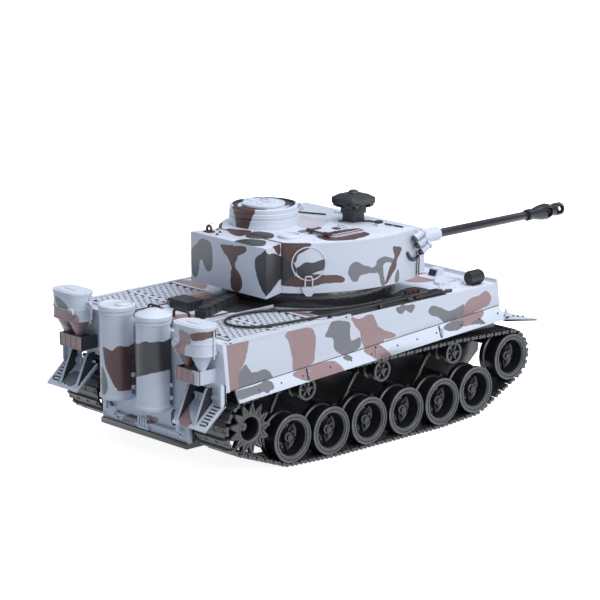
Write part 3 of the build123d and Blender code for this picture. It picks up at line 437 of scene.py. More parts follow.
def patch_mask(shader, flat, corners):
    """Depth inside a patch's smooth edge, in millimetres, at a flat place; less than zero outside."""
    line = smooth_outline(corners)
    place = heart(line)
    arms = sorted((math.atan2(p.y - place.y, p.x - place.x) / (2 * math.pi) + 0.5,
                   (p - place).length) for p in line)
    widest = max(radius for _, radius in arms)
    reach = [(share - 1, radius) for share, radius in arms[-1:]] + arms + [(share + 1, radius) for share,
                                                                           radius in arms[:1]]

    def edge(low, high):
        return low[1] + (high[1] - low[1]) * (0 - low[0]) / (high[0] - low[0])

    start = edge(reach[0], reach[1])
    curve = shader.node("ShaderNodeFloatCurve")
    curve.mapping.use_clip = False
    bend = curve.mapping.curves[0]
    bend.points[0].location = (0, start / widest)
    bend.points[1].location = (1, start / widest)
    taken = 0.0
    for share, radius in arms:
        if 0.004 < share - taken and share < 0.996:
            bend.points.new(share, radius / widest)
            taken = share
    for point in bend.points:
        point.handle_type = "AUTO_CLAMPED"
    curve.mapping.update()
    polar = shader.node("ShaderNodeGroup", node_tree=POLAR,
                        inputs={"Point": flat, "Centre": (place.x, place.y, 0)})
    shader.link(polar.outputs["Share"], curve.inputs["Value"])
    return shader.math("MULTIPLY_ADD", curve.outputs[0], widest, polar.outputs["Inwards"])


def camouflage(name, *planes, base=None, rough=(0.40, 0.52)):
    """White plastic with sprayed patches.

    A plane is (pair, gate, layers): the two axes its patches are drawn on, the axis its faces must look along
    with the sign it looks to (or None), and a list of (colour, outline, outline...) in hull millimetres.
    """
    shader = Shader(name, coat=0.06)
    to_hull = {"Vector": shader.place, "Scale": (1 / MM,) * 3, "Location": (-HULL_X / MM, 0, 0)}
    place = shader.node("ShaderNodeMapping", inputs=to_hull).outputs[0]
    wander = shader.node("ShaderNodeTexNoise", inputs={"Vector": place, "Scale": 0.35, "Detail": 1.0})
    centred = shader.node("ShaderNodeVectorMath", operation="SUBTRACT",
                          inputs={0: wander.outputs["Color"], 1: (0.5, 0.5, 0.5)}).outputs[0]
    shifted = shader.node("ShaderNodeVectorMath", operation="SCALE",
                          inputs={0: centred, "Scale": 0.7}).outputs[0]
    place = shader.node("ShaderNodeVectorMath", operation="ADD", inputs={0: place, 1: shifted}).outputs[0]
    parts = shader.node("ShaderNodeSeparateXYZ", inputs={0: place})
    normal = shader.node("ShaderNodeSeparateXYZ",
                         inputs={0: shader.node("ShaderNodeTexCoord").outputs["Normal"]})
    colour = shader.tint(base or WHITE, 0.03)
    axes = {"x": 0, "y": 1, "z": 2}
    for pair, gate, layers in planes:
        flat = shader.node("ShaderNodeCombineXYZ", inputs={
            0: parts.outputs[axes[pair[0]]], 1: parts.outputs[axes[pair[1]]]}).outputs[0]
        facing = None
        if gate:
            along = normal.outputs[axes[gate[-1]]]
            if gate[0] == "+":
                facing = shader.math("GREATER_THAN", along, 0.5)
            elif gate[0] == "-":
                facing = shader.math("LESS_THAN", along, -0.5)
            else:
                facing = shader.math("GREATER_THAN", shader.math("ABSOLUTE", along), 0.5)
        for paint, *outlines in layers:
            depth = None
            for corners in outlines:
                inside = patch_mask(shader, flat, corners)
                depth = inside if depth is None else shader.math("MAXIMUM", depth, inside)
            mask = shader.node("ShaderNodeMapRange", inputs={
                "Value": depth, "From Min": -0.16, "From Max": 0.16, "To Min": 0.0,
                "To Max": 1.0}).outputs[0]
            if facing is not None:
                mask = shader.math("MULTIPLY", mask, facing)
            colour = shader.mix(mask, colour, shader.tint(paint, 0.08, 300))
    return shader.finish(colour, grain=0.012, rough=rough)


# ---------------------------------------------------------------- paint
# Outlines of the sprayed patches: (x, z) on the sides, (x, y) on top, (y, z) on the rear.
HULL_SIDE = [
    (MAUVE,
     [(-107, 73), (-97.5, 72.5), (-90.5, 71.5), (-91, 67), (-93.5, 61.5), (-96.5, 56.5), (-98, 49),
      (-102.5, 48),
      (-107, 50.5), (-107, 61.5)],
     [(-66, 69), (-61.5, 71.5), (-53, 71), (-47, 69), (-45.5, 64), (-47, 57.5), (-48, 53), (-53, 51),
      (-62, 50.5),
      (-62.5, 57.5), (-64, 65.5)],
     [(-20.5, 71), (-15, 69), (-8.5, 70), (-4.5, 69), (-2, 63), (1.5, 58), (0, 53.5), (-10.5, 52.5),
      (-14, 56.5),
      (-15, 62.5), (-18, 66)],
     [(-3, 63), (2, 60.5), (10, 57), (8, 55.5), (1, 55.5), (-4, 55)],
     [(63, 64.5), (68, 66.5), (73.5, 67), (79, 68.5), (82.5, 64.5), (80.5, 61), (76.5, 60), (65.5, 58),
      (57, 57),
      (60, 60.5)]),
    (GREY,
     [(-99, 53), (-95.5, 58), (-93.5, 59.5), (-92, 58), (-89.5, 53.5), (-89, 49.5), (-90, 45), (-95.5, 45),
      (-98, 48)],
     [(-91, 54), (-86, 54.5), (-81.5, 55), (-77.5, 52.5), (-76.5, 48), (-84.5, 46), (-92, 46)],
     [(-34, 70.5), (-29, 70.5), (-21.5, 68), (-22, 62.5), (-22, 58), (-28, 53), (-33.5, 57), (-34, 62),
      (-39, 64),
      (-37, 67)],
     [(-30, 60), (-20.5, 59), (-15, 59.5), (-15, 55.5), (-18.5, 53.5), (-27.5, 52.5), (-32, 56)],
     [(12.5, 70.5), (24.5, 70), (24.5, 67.5), (22, 66), (18.5, 68), (16, 66.5), (13, 67.5)],
     [(35, 65), (38, 67), (43.5, 65.5), (50, 62.5), (58.5, 63.5), (61.5, 64), (60.5, 59), (55, 57.5),
      (47.5, 56),
      (42.5, 60), (36.5, 62.5)]),
]
SKIRT_SIDE = [
    (MAUVE,
     [(-106, 49), (-100.5, 50), (-101, 44.5), (-101.5, 41.5), (-104.5, 44.5)],
     [(-63, 49.5), (-49.5, 52), (-40.5, 51.5), (-34, 50.5), (-30.5, 45.5), (-38, 44.5), (-53, 44.5),
      (-60, 46.5)],
     [(-13, 53), (-3.5, 54.5), (3.5, 47), (-2, 46.5), (-6, 46.5), (-12, 50.5)],
     [(51.5, 57), (62.5, 58.5), (73.5, 60), (75.5, 57.5), (69.5, 54), (59.5, 53), (53.5, 55)]),
    (GREY,
     [(-100.5, 47.5), (-89.5, 48), (-79.5, 49), (-78, 45), (-92, 44), (-101, 43.5)],
     [(-28.5, 51.5), (-25.5, 52.5), (-22.5, 50.5), (-25.5, 49.5)],
     [(44, 54.5), (50, 56.5), (59.5, 55.5), (55, 52.5), (47.5, 52.5)],
     [(64, 54), (71, 55), (73.5, 52.5), (68, 53)]),
]
TURRET_SIDE = [
    (GREY,
     [(-7.5, 88.5), (-7, 92), (-5.5, 94), (-2.5, 94.5), (1, 92.5), (5.5, 90.5), (5.5, 88), (-0.5, 87),
      (-2.5, 84.5),
      (-5, 84.5)],
     [(3.5, 90), (8, 91), (11, 94), (12.5, 91.5), (10, 87.5), (5, 88)],
     [(9, 93), (11.5, 94.8), (15.5, 95), (20.5, 93), (20, 91), (15.5, 92), (12, 89.5), (10, 90)],
     [(9.5, 91), (13, 90.5), (14, 85), (15, 80.5), (12.5, 80), (11, 84.5)],
     [(24.5, 87), (25.5, 83), (24.5, 80), (22, 80.5), (22.5, 84.5)]),
    (BROWN,
     [(-36, 106.5), (-31, 106.5), (-25, 106), (-26, 103.5), (-28.5, 101.5), (-30.5, 100), (-31.5, 96),
      (-33, 97),
      (-36, 99)],
     [(-36, 88.5), (-32.5, 89.5), (-30, 88.5), (-25, 90), (-22, 87), (-24, 83.5), (-30.5, 83), (-36, 84)],
     [(-26, 89.5), (-19, 89), (-12.5, 88.5), (-9.5, 86.5), (-10.5, 84.5), (-19, 84.5), (-25, 83.6)],
     [(20.5, 99.5), (27, 98), (26, 95), (23.5, 92), (22.5, 88), (19, 89.5), (21.5, 94), (21, 96.5)],
     [(23, 90.5), (22.5, 87.5), (20, 85), (16.5, 81), (15, 81), (16.5, 85.5), (19, 90)]),
    (CHARCOAL,
     [(-36, 98), (-33, 97), (-31.5, 93.5), (-31.5, 88.5), (-33, 87), (-36, 85)],
     [(-31.5, 93), (-30, 94), (-27.5, 96), (-24, 96), (-20.5, 97.5), (-18.5, 97), (-19, 93), (-22, 91.5),
      (-25, 90),
      (-28.5, 88.5), (-30.5, 89.5)]),
]
BIN_REAR_FACE = [
    (GREY,
     [(29, 95.5), (24.5, 100), (22, 102.5), (18, 103), (17, 96), (20, 92), (22, 91.5), (23, 86.5), (25, 82),
      (28, 83),
      (29, 87)],
     [(20, 102.6), (16, 103), (13, 101), (12, 95), (12.5, 89), (15, 86.5), (17.5, 87.5), (20, 92),
      (21, 98)]),
    (BROWN,
     [(5.5, 102.5), (-4, 103.5), (-12.5, 104.5), (-14.5, 103.5), (-13.5, 101.5), (-7.5, 98.5), (-4, 96),
      (0.5, 97),
      (4, 99.5)],
     [(0.5, 98), (-7.5, 98.5), (-5.5, 94.5), (-6, 91.5), (-7, 88), (-2.5, 87.5), (-2.5, 92.5)],
     [(-2.5, 90.5), (-6, 91.5), (-10, 88), (-11, 83.5), (-8.5, 80), (-5, 79.5), (-2, 82)]),
    (CHARCOAL,
     [(-21, 99), (-24.5, 102), (-30.5, 103.5), (-30.5, 83), (-27, 83), (-23.5, 87.5), (-21, 94)]),
]
BIN_SIDE_FACE = [
    (CHARCOAL,
     [(-52, 102.5), (-47.5, 102.5), (-43, 102), (-37, 99.5), (-33, 97), (-33, 88), (-38, 86.5), (-44, 83.5),
      (-48, 82), (-52, 83)]),
    (BROWN, [(-44, 106.5), (-38, 107), (-36, 102), (-38, 100), (-41, 102.5)]),
]
ROOF_TOP = [
    (BROWN,
     [(-32.5, 21), (-29.5, 16), (-27, 8), (-36, 3), (-40.5, 3.5), (-39, 11)],
     [(-11, -24), (-13.5, -36), (-2, -43), (2, -38), (-2, -30), (-5.5, -28)],
     [(-4, -42.5), (12, -40), (14, -31), (2, -27), (-3, -32)]),
    (CHARCOAL,
     [(-37, 1.5), (-26, 6), (-23, -3.5), (-31, -12), (-39, -6)],
     [(-51.5, -5), (-42.5, -4), (-37.5, -14), (-46, -22.5), (-50.5, -18.5), (-52, -10.5)]),
    (GREY, [(-9.5, -8.5), (-0.5, -9), (-2, -12.5), (-10.5, -13.5)]),
    (PINK, [(17.5, 19), (19.5, 11.5), (21.5, 1), (8, -8.5), (-1, -5.5), (0, 2)]),
]
EXHAUST_REAR = [
    (BROWN,
     [(15, 58.5), (12, 58.5), (9.5, 57.5), (7, 60), (5, 58), (4, 50), (6, 43), (8, 38), (10, 42.5),
      (13, 48.5),
      (14.5, 55)],
     [(4, 52), (8, 46), (8, 38), (6.5, 36.5), (4, 38)]),
    (GREY, [(16.5, 48), (13.5, 45.5), (12, 40), (12.5, 36), (14.5, 34), (17, 36)]),
    (CHARCOAL,
     [(-4, 65), (-12.5, 65.5), (-17, 67.5), (-20, 67.5), (-24, 66.5), (-24.5, 54), (-20.5, 51.5),
      (-16.5, 50),
      (-12, 48.5), (-4, 47.5)]),
]
FILTER_REAR = [
    (MAUVE,
     [(56, 73), (49, 72), (43.5, 72.5), (38.5, 70.5), (37.5, 65.5), (36, 61), (44, 59), (49.5, 61),
      (53.5, 64),
      (56.5, 65)],
     [(-44.5, 78.5), (-49, 78.5), (-52, 77.5), (-53, 73.5), (-49, 71.5), (-48, 66.5), (-42.5, 66),
      (-41, 69.5),
      (-44.5, 72.5)],
     [(-36, 58.5), (-36, 50), (-50, 50), (-50, 58.5)],
     [(36, 59), (36, 51), (56, 51), (56, 59)]),
    (BROWN,
     [(-52.5, 77.5), (-55, 79), (-60.5, 79.5), (-61, 77.5), (-58.5, 75.5), (-54, 75)],
     [(-38, 65), (-46.5, 66), (-50.5, 63.5), (-46.5, 59.5), (-42, 59.5)]),
    (GREY, [(54, 78), (49.5, 77.5), (44, 75), (43.5, 73), (49, 72.5), (52, 73.5)]),
]
REAR_LOW = [
    (MAUVE,
     [(-1.5, 23.5), (-5.5, 24), (-10, 24), (-10, 22), (-5.5, 20), (-2.5, 20.5)],
     [(-35, 37.5), (-39, 38.5), (-45, 35), (-49.5, 32.5), (-49.5, 30), (-44.5, 30), (-39, 33.5)]),
    (GREY,
     [(18.5, 16.5), (12.5, 21), (4.5, 21.5), (-0.5, 19.5), (8.5, 17.5)],
     [(56, 33.5), (53, 35.5), (50, 37.5), (45.5, 37.5), (42, 35), (43, 32.5), (46, 31.5), (50.5, 32.5),
      (54.5, 31.5)]),
]
CUPOLA_REAR = [(BROWN, [(25, 117), (11, 117), (11.6, 110), (14, 105), (20, 105), (22.3, 111)])]
DECK_TOP_PAINT = [
    (CHARCOAL,
     [(-38.5, 14.5), (-40.5, -0.5), (-37.5, -20.5), (-46.5, -35.5), (-56, -24), (-59, -14), (-54, 2),
      (-48.5, 13.5)],
     [(-30, -40), (-10, -44), (10, -46), (46, -36), (50, -50), (46, -62), (10, -63), (-20, -60),
      (-31, -50)],
     [(-70, 4), (-60, 14), (-44, 16), (-42, -4), (-46, -20), (-62, -21), (-66, -8)],
     [(-95, 56), (-70, 50), (-60, 40), (-66, 30), (-84, 30), (-97, 42)]),
    (MAUVE,
     [(-103, -21), (-84, -20), (-80, -10), (-88, -2), (-103, -4)],
     [(-103, 20), (-88, 21), (-82, 14), (-92, 8), (-103, 9)],
     [(-80, -19), (-67.5, -20), (-66, -31), (-74, -34), (-81, -28)],
     [(-45, -32), (-34, -33), (-31.5, -45), (-38, -47.5), (-46, -40)],
     [(-50, 44), (-36, 36), (-26, 48), (-34, 60), (-48, 58)],
     [(56, -30), (70, -34), (78, -20), (66, -10), (56, -16)]),
    (GREY, [(62, 20), (76, 14), (84, 28), (76, 44), (62, 40)]),
]

hull_paint = camouflage("hull_paint", ("xz", "|y", HULL_SIDE), ("xy", "+z", DECK_TOP_PAINT))
skirt_paint = camouflage("skirt_paint", ("xz", "|y", SKIRT_SIDE))
turret_paint = camouflage("turret_paint", ("xz", None, TURRET_SIDE))
roof_paint = camouflage("roof_paint", ("xy", "+z", ROOF_TOP))
bin_paint = camouflage("bin_paint", ("yz", "-x", BIN_REAR_FACE), ("xz", "|y", BIN_SIDE_FACE),
                       ("xy", "+z", ROOF_TOP))
exhaust_paint = camouflage("exhaust_paint", ("yz", None, EXHAUST_REAR))
filter_paint = camouflage("filter_paint", ("yz", None, FILTER_REAR))
rear_paint = camouflage("rear_paint", ("yz", None, REAR_LOW))
cupola_paint = camouflage("cupola_paint", ("yz", None, CUPOLA_REAR))
white = plain("white_plastic", WHITE, rough=(0.42, 0.55), grain=0.012, coat=0.06, amount=0.03)
mauve = plain("mauve_paint", MAUVE, rough=(0.42, 0.55), grain=0.012)
brown = plain("brown_paint", BROWN, rough=(0.4, 0.52), grain=0.012)
charcoal = plain("charcoal_paint", CHARCOAL, rough=(0.36, 0.5), grain=0.012)
black = plain("black_plastic", BLACK, rough=(0.24, 0.38), grain=0.02, coat=0.15, amount=0.2)
ring_black = plain("ring_black", (0.016, 0.016, 0.019), rough=(0.16, 0.26), grain=0.004, coat=0.35,
                   amount=0.15)
# painted highlight: pale grey given to the lip edges of wheels, rollers and sprockets in place of their glint
rim_highlight_paint = plain("painted_rim_highlight", (0.13, 0.135, 0.15), rough=(0.25, 0.35), grain=0.01, coat=0.15, amount=0.12)
# grey with painted sheen on the black running gear, and the sprockets' grey
grey_and_sheen = plain("grey_and_sheen_plastic", GREY_AND_SHEEN, rough=(0.3, 0.42), grain=0.02, coat=0.1, amount=0.12)
dark_plastic = plain("dark_plastic", (0.022, 0.023, 0.027), rough=(0.3, 0.45), grain=0.02, amount=0.15)
gunmetal = plain("gunmetal", (0.028, 0.029, 0.034), rough=(0.26, 0.36), grain=0.01, metallic=0.35,
                 amount=0.15)
steel = plain("steel", (0.45, 0.45, 0.47), rough=(0.28, 0.4), grain=0.01, metallic=1.0)
rope = plain("rope", (0.030, 0.030, 0.034), rough=(0.55, 0.7), grain=0.05, amount=0.3)


def track_with_painted_highlight():
    """Black track plastic with a painted highlight: a little paler on its sharp proud edges, broken up by
    noise.
    """
    shader = Shader("track_plastic", coat=0.08)
    pointed = shader.node("ShaderNodeNewGeometry").outputs["Pointiness"]
    edge = shader.math("SMOOTH_MIN", shader.math("MULTIPLY", shader.math("SUBTRACT", pointed, 0.5), 6.0),
                       1.0, 0.2)
    # painted highlight: pale grey where the surface is sharply convex, in noisy patches
    highlight_share = shader.math("MULTIPLY", shader.math("MAXIMUM", edge, 0.0), shader.noise(700, 4))
    colour = shader.mix(highlight_share, shader.tint((0.014, 0.014, 0.016), 0.25, 500), (0.10, 0.10, 0.11))
    return shader.finish(colour, grain=0.04, grain_scale=3500, rough=(0.22, 0.46))


track_plastic = track_with_painted_highlight()


# ---------------------------------------------------------------- running gear
def ring_plate(piece, outer, inner, y_low, y_high, origin, slot=0):
    """Plate between an outer and an inner outline of as many (x, z) points, from one Y to another."""
    ox, oz = origin
    rows = [[(ox + u, y, oz + v) for u, v in outline] for outline, y in (
        (outer, y_low), (outer, y_high), (inner, y_high), (inner, y_low))]
    count = len(outer)
    loops = []
    for row in range(4):
        for step in range(count):
            after, beyond = (step + 1) % count, (row + 1) % 4
            loops.append((row * count + step, row * count + after, beyond * count + after,
                          beyond * count + step))
    piece.faces([point for row in rows for point in row], loops, slot)


def star_outline(teeth, tip, root, steps=5, flat=0.16, start=0.0):
    """Toothed outline with slightly blunt tips, as closely spaced points."""
    points = []
    for number in range(teeth * steps * 2):
        turn = number / (teeth * steps * 2)
        share = (turn * teeth) % 1.0
        height = min(1.0, max(0.0, (abs(share - 0.5) * 2 - flat * 0.2) / (1 - flat)))
        radius = root + (tip - root) * height ** 1.25
        angle = 2 * math.pi * turn + start
        points.append((radius * math.cos(angle), radius * math.sin(angle)))
    return points


def build_running_wheel(name, side):
    """Dished wheel with a grooved double rim, six bosses, web ribs and a screwed hub."""
    middle = centre(name)
    x, z, face = middle.x, middle.z, -WHEEL_FACE
    piece = Piece(f"{name}_looks", f"{name}_body", black, grey_and_sheen, steel, rim_highlight_paint)
    floor, hub = 8.0, 3.3
    profile = [
        (0, hub + 0.5), (1.0, hub + 0.5), (1.05, hub), (2.1, hub), (2.45, hub + 0.35), (2.6, hub + 0.9),
        (2.6, 6.6),
        (3.3, 7.3), (3.9, floor), (7.9, floor), (8.6, 7.4), (9.15, 1.3), (9.2, 0.95), (9.75, 0.95),
        (9.8, 0.1),
        (9.95, 0), (10.7, 0), (10.8, 0.35), (11.25, 0.35), (11.35, 0), (12.15, 0), (WHEEL_R, 0.45),
        (WHEEL_R, 2.9),
        (11.6, 3.5), (11.6, 9.0), (WHEEL_R, 9.6), (WHEEL_R, WHEEL_WIDTH), (10.8, WHEEL_WIDTH), (10.3, 9.8),
        (3.0, 9.8), (2.6, WHEEL_WIDTH), (0, WHEEL_WIDTH),
    ]
    # slot 1, the grey with painted sheen, covers the hub, the flat rim faces and the bosses; slot 3, the
    # painted highlight, covers the lip edges
    slots = [1, 1, 1, 3, 1] + [0] * 6 + [3, 1, 3, 3, 1, 0, 0, 0, 1, 3] + [0] * (len(profile) - 22)
    piece.lathe(profile, (x, face, z), (0, 1, 0), 72, slots)
    piece.dome(0.95, 0.5, (x, face + hub + 0.35, z), (0, -1, 0), 12, 2)
    for number in range(6):
        turn = math.radians(60 * number + 12)
        u, v = math.cos(turn), math.sin(turn)
        spot = (x + 5.7 * u, face + floor, z + 5.7 * v)
        piece.lathe([(0.0, 1.7), (0.55, 1.7), (0.85, 1.5), (0.95, 1.2), (0.95, -0.1), (0, -0.1)],
                    spot, (0, -1, 0), 14, [1] * 5)
        turn += math.radians(30)
        u, v = math.cos(turn), math.sin(turn)
        turned = Matrix.Rotation(-turn, 3, "Y")
        low, high = (x + 5.9 * u - 2.3, face + 6.7, z + 5.9 * v - 0.35), (x + 5.9 * u + 2.3, face + 8.2,
                                                                          z + 5.9 * v + 0.35)
        piece.box(low, high, 0, turned)
    piece.finish(name, bevel=0.12, flip=side == "left")


def build_return_roller(name, side):
    """Small roller with a six-armed star in its dish."""
    middle = centre(name)
    x, z, face = middle.x, middle.z, -ROLLER_FACE
    piece = Piece(f"{name}_looks", f"{name}_body", black, grey_and_sheen, steel, rim_highlight_paint)
    profile = [
        (0, 0.5), (0.7, 0.5), (0.75, 0.8), (1.7, 0.8), (1.9, 1.1), (1.9, 2.3), (4.1, 2.4), (4.4, 0.6),
        (4.8, 0),
        (5.5, 0), (ROLLER_R, 0.35), (ROLLER_R, 2.6), (4.6, 3.0), (4.6, 8.0), (ROLLER_R, 8.4),
        (ROLLER_R, ROLLER_WIDTH), (0, ROLLER_WIDTH),
    ]
    # slot 1 on the hub, rim face and star arms is grey with painted sheen; slot 3 on the lip edges is painted
    # highlight
    slots = [2, 2, 1, 1, 1, 0, 0, 3, 1, 3] + [0] * 6
    piece.lathe(profile, (x, face, z), (0, 1, 0), 48, slots)
    for number in range(6):
        turn = math.radians(60 * number)
        u, v = math.cos(turn), math.sin(turn)
        turned = Matrix.Rotation(-turn, 3, "Y")
        middle_x, middle_z = x + 2.9 * u, z + 2.9 * v
        piece.box((middle_x - 1.4, face + 1.0, middle_z - 0.5),
                  (middle_x + 1.4, face + 2.6, middle_z + 0.5), 1, turned)
    piece.finish(name, bevel=0.1, flip=side == "left")


def build_sprocket(name, side):
    """Thirteen-pointed ring with a chevron on each tooth, a deep hub and an inner ring."""
    middle = centre(name)
    x, z = middle.x, middle.z
    low, high = span(name)
    face, teeth = (low.y if side == "right" else -high.y), 13
    piece = Piece(f"{name}_looks", f"{name}_body", grey_and_sheen, black, rim_highlight_paint)
    tip, root, hole, thick = 13.6, 9.3, 6.4, 2.4
    outer = star_outline(teeth, tip, root)
    inner = circle(hole, len(outer))
    ring_plate(piece, outer, inner, face, face + thick, (x, z), 1)
    back = face + 22.6
    ring_plate(piece, star_outline(teeth, 12.4, 9.3), inner, back, back + thick, (x, z))
    for number in range(teeth):
        turn = 2 * math.pi * number / teeth
        for lean in (-1, 1):
            base_turn = turn + lean * 0.19
            tip_at = Vector((x + 12.9 * math.cos(turn), 0, z + 12.9 * math.sin(turn)))
            base = Vector((x + 8.2 * math.cos(base_turn), 0, z + 8.2 * math.sin(base_turn)))
            run = (tip_at - base).normalized()
            across = Vector((-run.z, 0, run.x)) * 0.46
            bottom, top = face + 0.1, face - 0.45
            corners = [base - across, tip_at - across * 0.7, tip_at + across * 0.7, base + across]
            piece.hexa([(c.x, bottom, c.z) for c in corners], [(c.x, top, c.z) for c in corners])
    profile = [
        (0, 5.0), (0.9, 5.0), (1.0, 5.4), (1.6, 5.4), (2.3, 5.0), (2.4, 11.4), (5.0, 11.6), (5.9, 1.2),
        (6.05, 0.1),
        (6.3, -0.2), (7.0, -0.2), (7.2, 0.1), (7.6, 0.9), (8.4, thick), (8.4, 22.6), (6.5, 24.8),
        (1.6, 25.0), (1.6, 36.0), (0, 36.0),
    ]
    # slot 0 is the sprocket's grey, which also carries painted sheen; slot 2 is painted highlight on edges of
    # the hub
    slots = [0, 0, 2, 0, 1, 1, 1, 0, 2, 0, 0, 1, 1] + [1] * 5
    piece.lathe(profile, (x, face, z), (0, 1, 0), 56, slots)
    for number in range(6):
        turn = math.radians(60 * number + 20)
        piece.rod(0.55, (x + 3.7 * math.cos(turn), face + 11.6, z + 3.7 * math.sin(turn)),
                  (x + 3.7 * math.cos(turn), face + 10.7, z + 3.7 * math.sin(turn)), 10, slot=0)
    piece.finish(name, bevel=0.1, flip=side == "left")


class TrackLine:
    """Line of the track's inner face round all the wheels of one side, as arcs and straight runs."""

    def __init__(self, side):
        gap = 0.2
        wheels = [centre(f"road_wheel_{number}_{side}") for number in range(1, 7)]
        rollers = [centre(f"return_roller_{number}_{side}") for number in (3, 2, 1)]
        idler, sprocket = centre(f"idler_wheel_{side}"), centre(f"drive_sprocket_{side}")
        circles = [(sprocket, 12.9)] + [(place, WHEEL_R + gap) for place in wheels + [idler]]
        circles += [(place, ROLLER_R + gap) for place in rollers]
        self.circles = [(Vector((place.x, place.z)), radius) for place, radius in circles]
        count = len(self.circles)
        normals = []
        for number in range(count):
            (here, r1), (there, r2) = self.circles[number], self.circles[(number + 1) % count]
            run = there - here
            forward = run.normalized()
            right = Vector((forward.y, -forward.x))
            lean = (r1 - r2) / run.length
            normals.append(forward * lean + right * math.sqrt(1 - lean * lean))
        self.runs, self.length = [], 0.0
        for number in range(count):
            (here, radius), (there, far_radius) = self.circles[number], self.circles[(number + 1) % count]
            before, after = normals[number - 1], normals[number]
            start = math.atan2(before.y, before.x)
            sweep = (math.atan2(after.y, after.x) - start + math.pi) % (2 * math.pi) - math.pi
            if sweep < -1e-6 or (number in (0, 7) and sweep < 0.5):
                sweep += 2 * math.pi
            if sweep > 1e-6:
                self.runs.append(("arc", here, radius, start, sweep, self.length))
                self.length += radius * sweep
            first, last = here + normals[number] * radius, there + normals[number] * far_radius
            self.runs.append(("line", first, last, normals[number], None, self.length))
            self.length += (last - first).length

    def at(self, distance):
        """Place on the line and its outward normal."""
        distance %= self.length
        run = [item for item in self.runs if item[5] <= distance][-1]
        along = distance - run[5]
        if run[0] == "arc":
            turn = run[3] + along / run[2]
            normal = Vector((math.cos(turn), math.sin(turn)))
            return run[1] + normal * run[2], normal
        forward = (run[2] - run[1]).normalized()
        return run[1] + forward * along, run[3]


LINK_PITCH = 6.0
BELT_THICK, LINK_THICK = 1.1, 1.16


def build_track(side):
    """Belt with one link a pitch: a grouser bar, two pads, end connectors and pin heads."""
    line = TrackLine(side)
    name = f"track_{side}"
    low, high = span(name)
    near, far = (high.y, low.y) if side == "right" else (-low.y, -high.y)
    edge = far + 2.6
    piece = Piece(f"{name}_looks", "hull", track_plastic, grey_and_sheen)
    links = round(line.length / LINK_PITCH)
    steps, rows = links * 6, []
    section = [(0.1, near), (BELT_THICK, near), (BELT_THICK, edge), (0.1, edge)]
    for step in range(steps):
        place, normal = line.at(line.length * step / steps)
        ring = [Vector((place.x + normal.x * s, y, place.y + normal.y * s)) for s, y in section]
        rows.append([piece.mesh.verts.new(point) for point in ring])
    for near_row, far_row in zip(rows, rows[1:] + rows[:1]):
        for index in range(4):
            after = (index + 1) % 4
            piece.mesh.faces.new([near_row[index], near_row[after], far_row[after], far_row[index]])

    def bar(middle, normal, half, y0, y1, s0, s1, taper=0.0, shift=0.0, slot=0):
        """Block on a link: half its length along the track, a Y span and two heights off the inner face."""
        forward = Vector((-normal.y, normal.x))

        def corner(t, y, s):
            point = middle + forward * (t + shift) + normal * s
            return (point.x, y, point.y)

        tight = half - taper
        piece.hexa([corner(-half, y0, s0), corner(half, y0, s0), corner(half, y1, s0),
                    corner(-half, y1, s0)],
                   [corner(-tight, y0, s1), corner(tight, y0, s1), corner(tight, y1, s1),
                    corner(-tight, y1, s1)], slot)

    top = BELT_THICK + LINK_THICK
    for number in range(links):
        middle, normal = line.at(line.length * number / links)
        bar(middle, normal, 2.2, near, far + 0.5, 0.9, 1.55, 0.1)
        bar(middle, normal, 0.62, near + 0.0, far + 0.7, 1.4, top - 0.02, 0.2, shift=-1.2)
        bar(middle, normal, 0.55, near - 1.2, far + 2.0, 1.4, 2.0, 0.2, shift=1.3)
        for y0, y1 in ((near - 1.6, near - 7.4), (near - 9.4, near - 15.2), (near - 17.2, far + 2.6)):
            bar(middle, normal, 0.8, y0, y1, 1.4, 1.95, 0.15, shift=0.15)
        bar(middle, normal, 1.7, far + 2.4, far + 0.15, 0.35, 1.7, 0.2)
        forward = Vector((-normal.y, normal.x))
        for shift in (-1.45, 1.45):
            spot = middle + forward * shift + normal * 1.08
            # connectors in the grey with painted sheen, standing in for their highlights
            piece.rod(1.1, (spot.x, far + 2.5, spot.y), (spot.x, far + 0.05, spot.y), 14, slot=1)
            piece.rod(0.45, (spot.x, far + 0.4, spot.y), (spot.x, far - 0.02, spot.y), 10, slot=0)
        bar(middle, normal, 0.7, near - 9.6, near - 14.8, -0.5, 0.3, 0.15)
    piece.finish(name, bevel=0.1, segments=1, flip=side == "left")


for side in SIDES:
    build_track(side)
    for number in range(1, 7):
        build_running_wheel(f"road_wheel_{number}_{side}", side)
    build_running_wheel(f"idler_wheel_{side}", side)
    for number in range(1, 4):
        build_return_roller(f"return_roller_{number}_{side}", side)
    build_sprocket(f"drive_sprocket_{side}", side)


# ---------------------------------------------------------------- turret details
def arch(start, end, rise, steps=10):
    """Points of a handle that rises from one foot to the other with round shoulders."""
    start, end, up = Vector(start), Vector(end), Vector(rise)
    shoulder = 0.22
    points = [start]
    for step in range(steps + 1):
        turn = math.pi / 2 * step / steps
        climb = up * (0.5 + 0.5 * math.sin(turn))
        points.append(start + (end - start) * shoulder * (1 - math.cos(turn)) + climb)
    for step in range(steps + 1):
        turn = math.pi / 2 * (1 - step / steps)
        climb = up * (0.5 + 0.5 * math.sin(turn))
        points.append(end + (start - end) * shoulder * (1 - math.cos(turn)) + climb)
    return points + [end]


CUPOLA_X, CUPOLA_Y = centre("cupola").x, centre("cupola").y
CUPOLA_R = (span("cupola")[1].x - span("cupola")[0].x) / 2
CUPOLA_TOP = span("cupola")[1].z


TURRET_A, TURRET_B, TURRET_OVAL_X = 61.6, 49.0, 18.0
TURRET_FRONT, TURRET_BACK = 45.0, -35.5


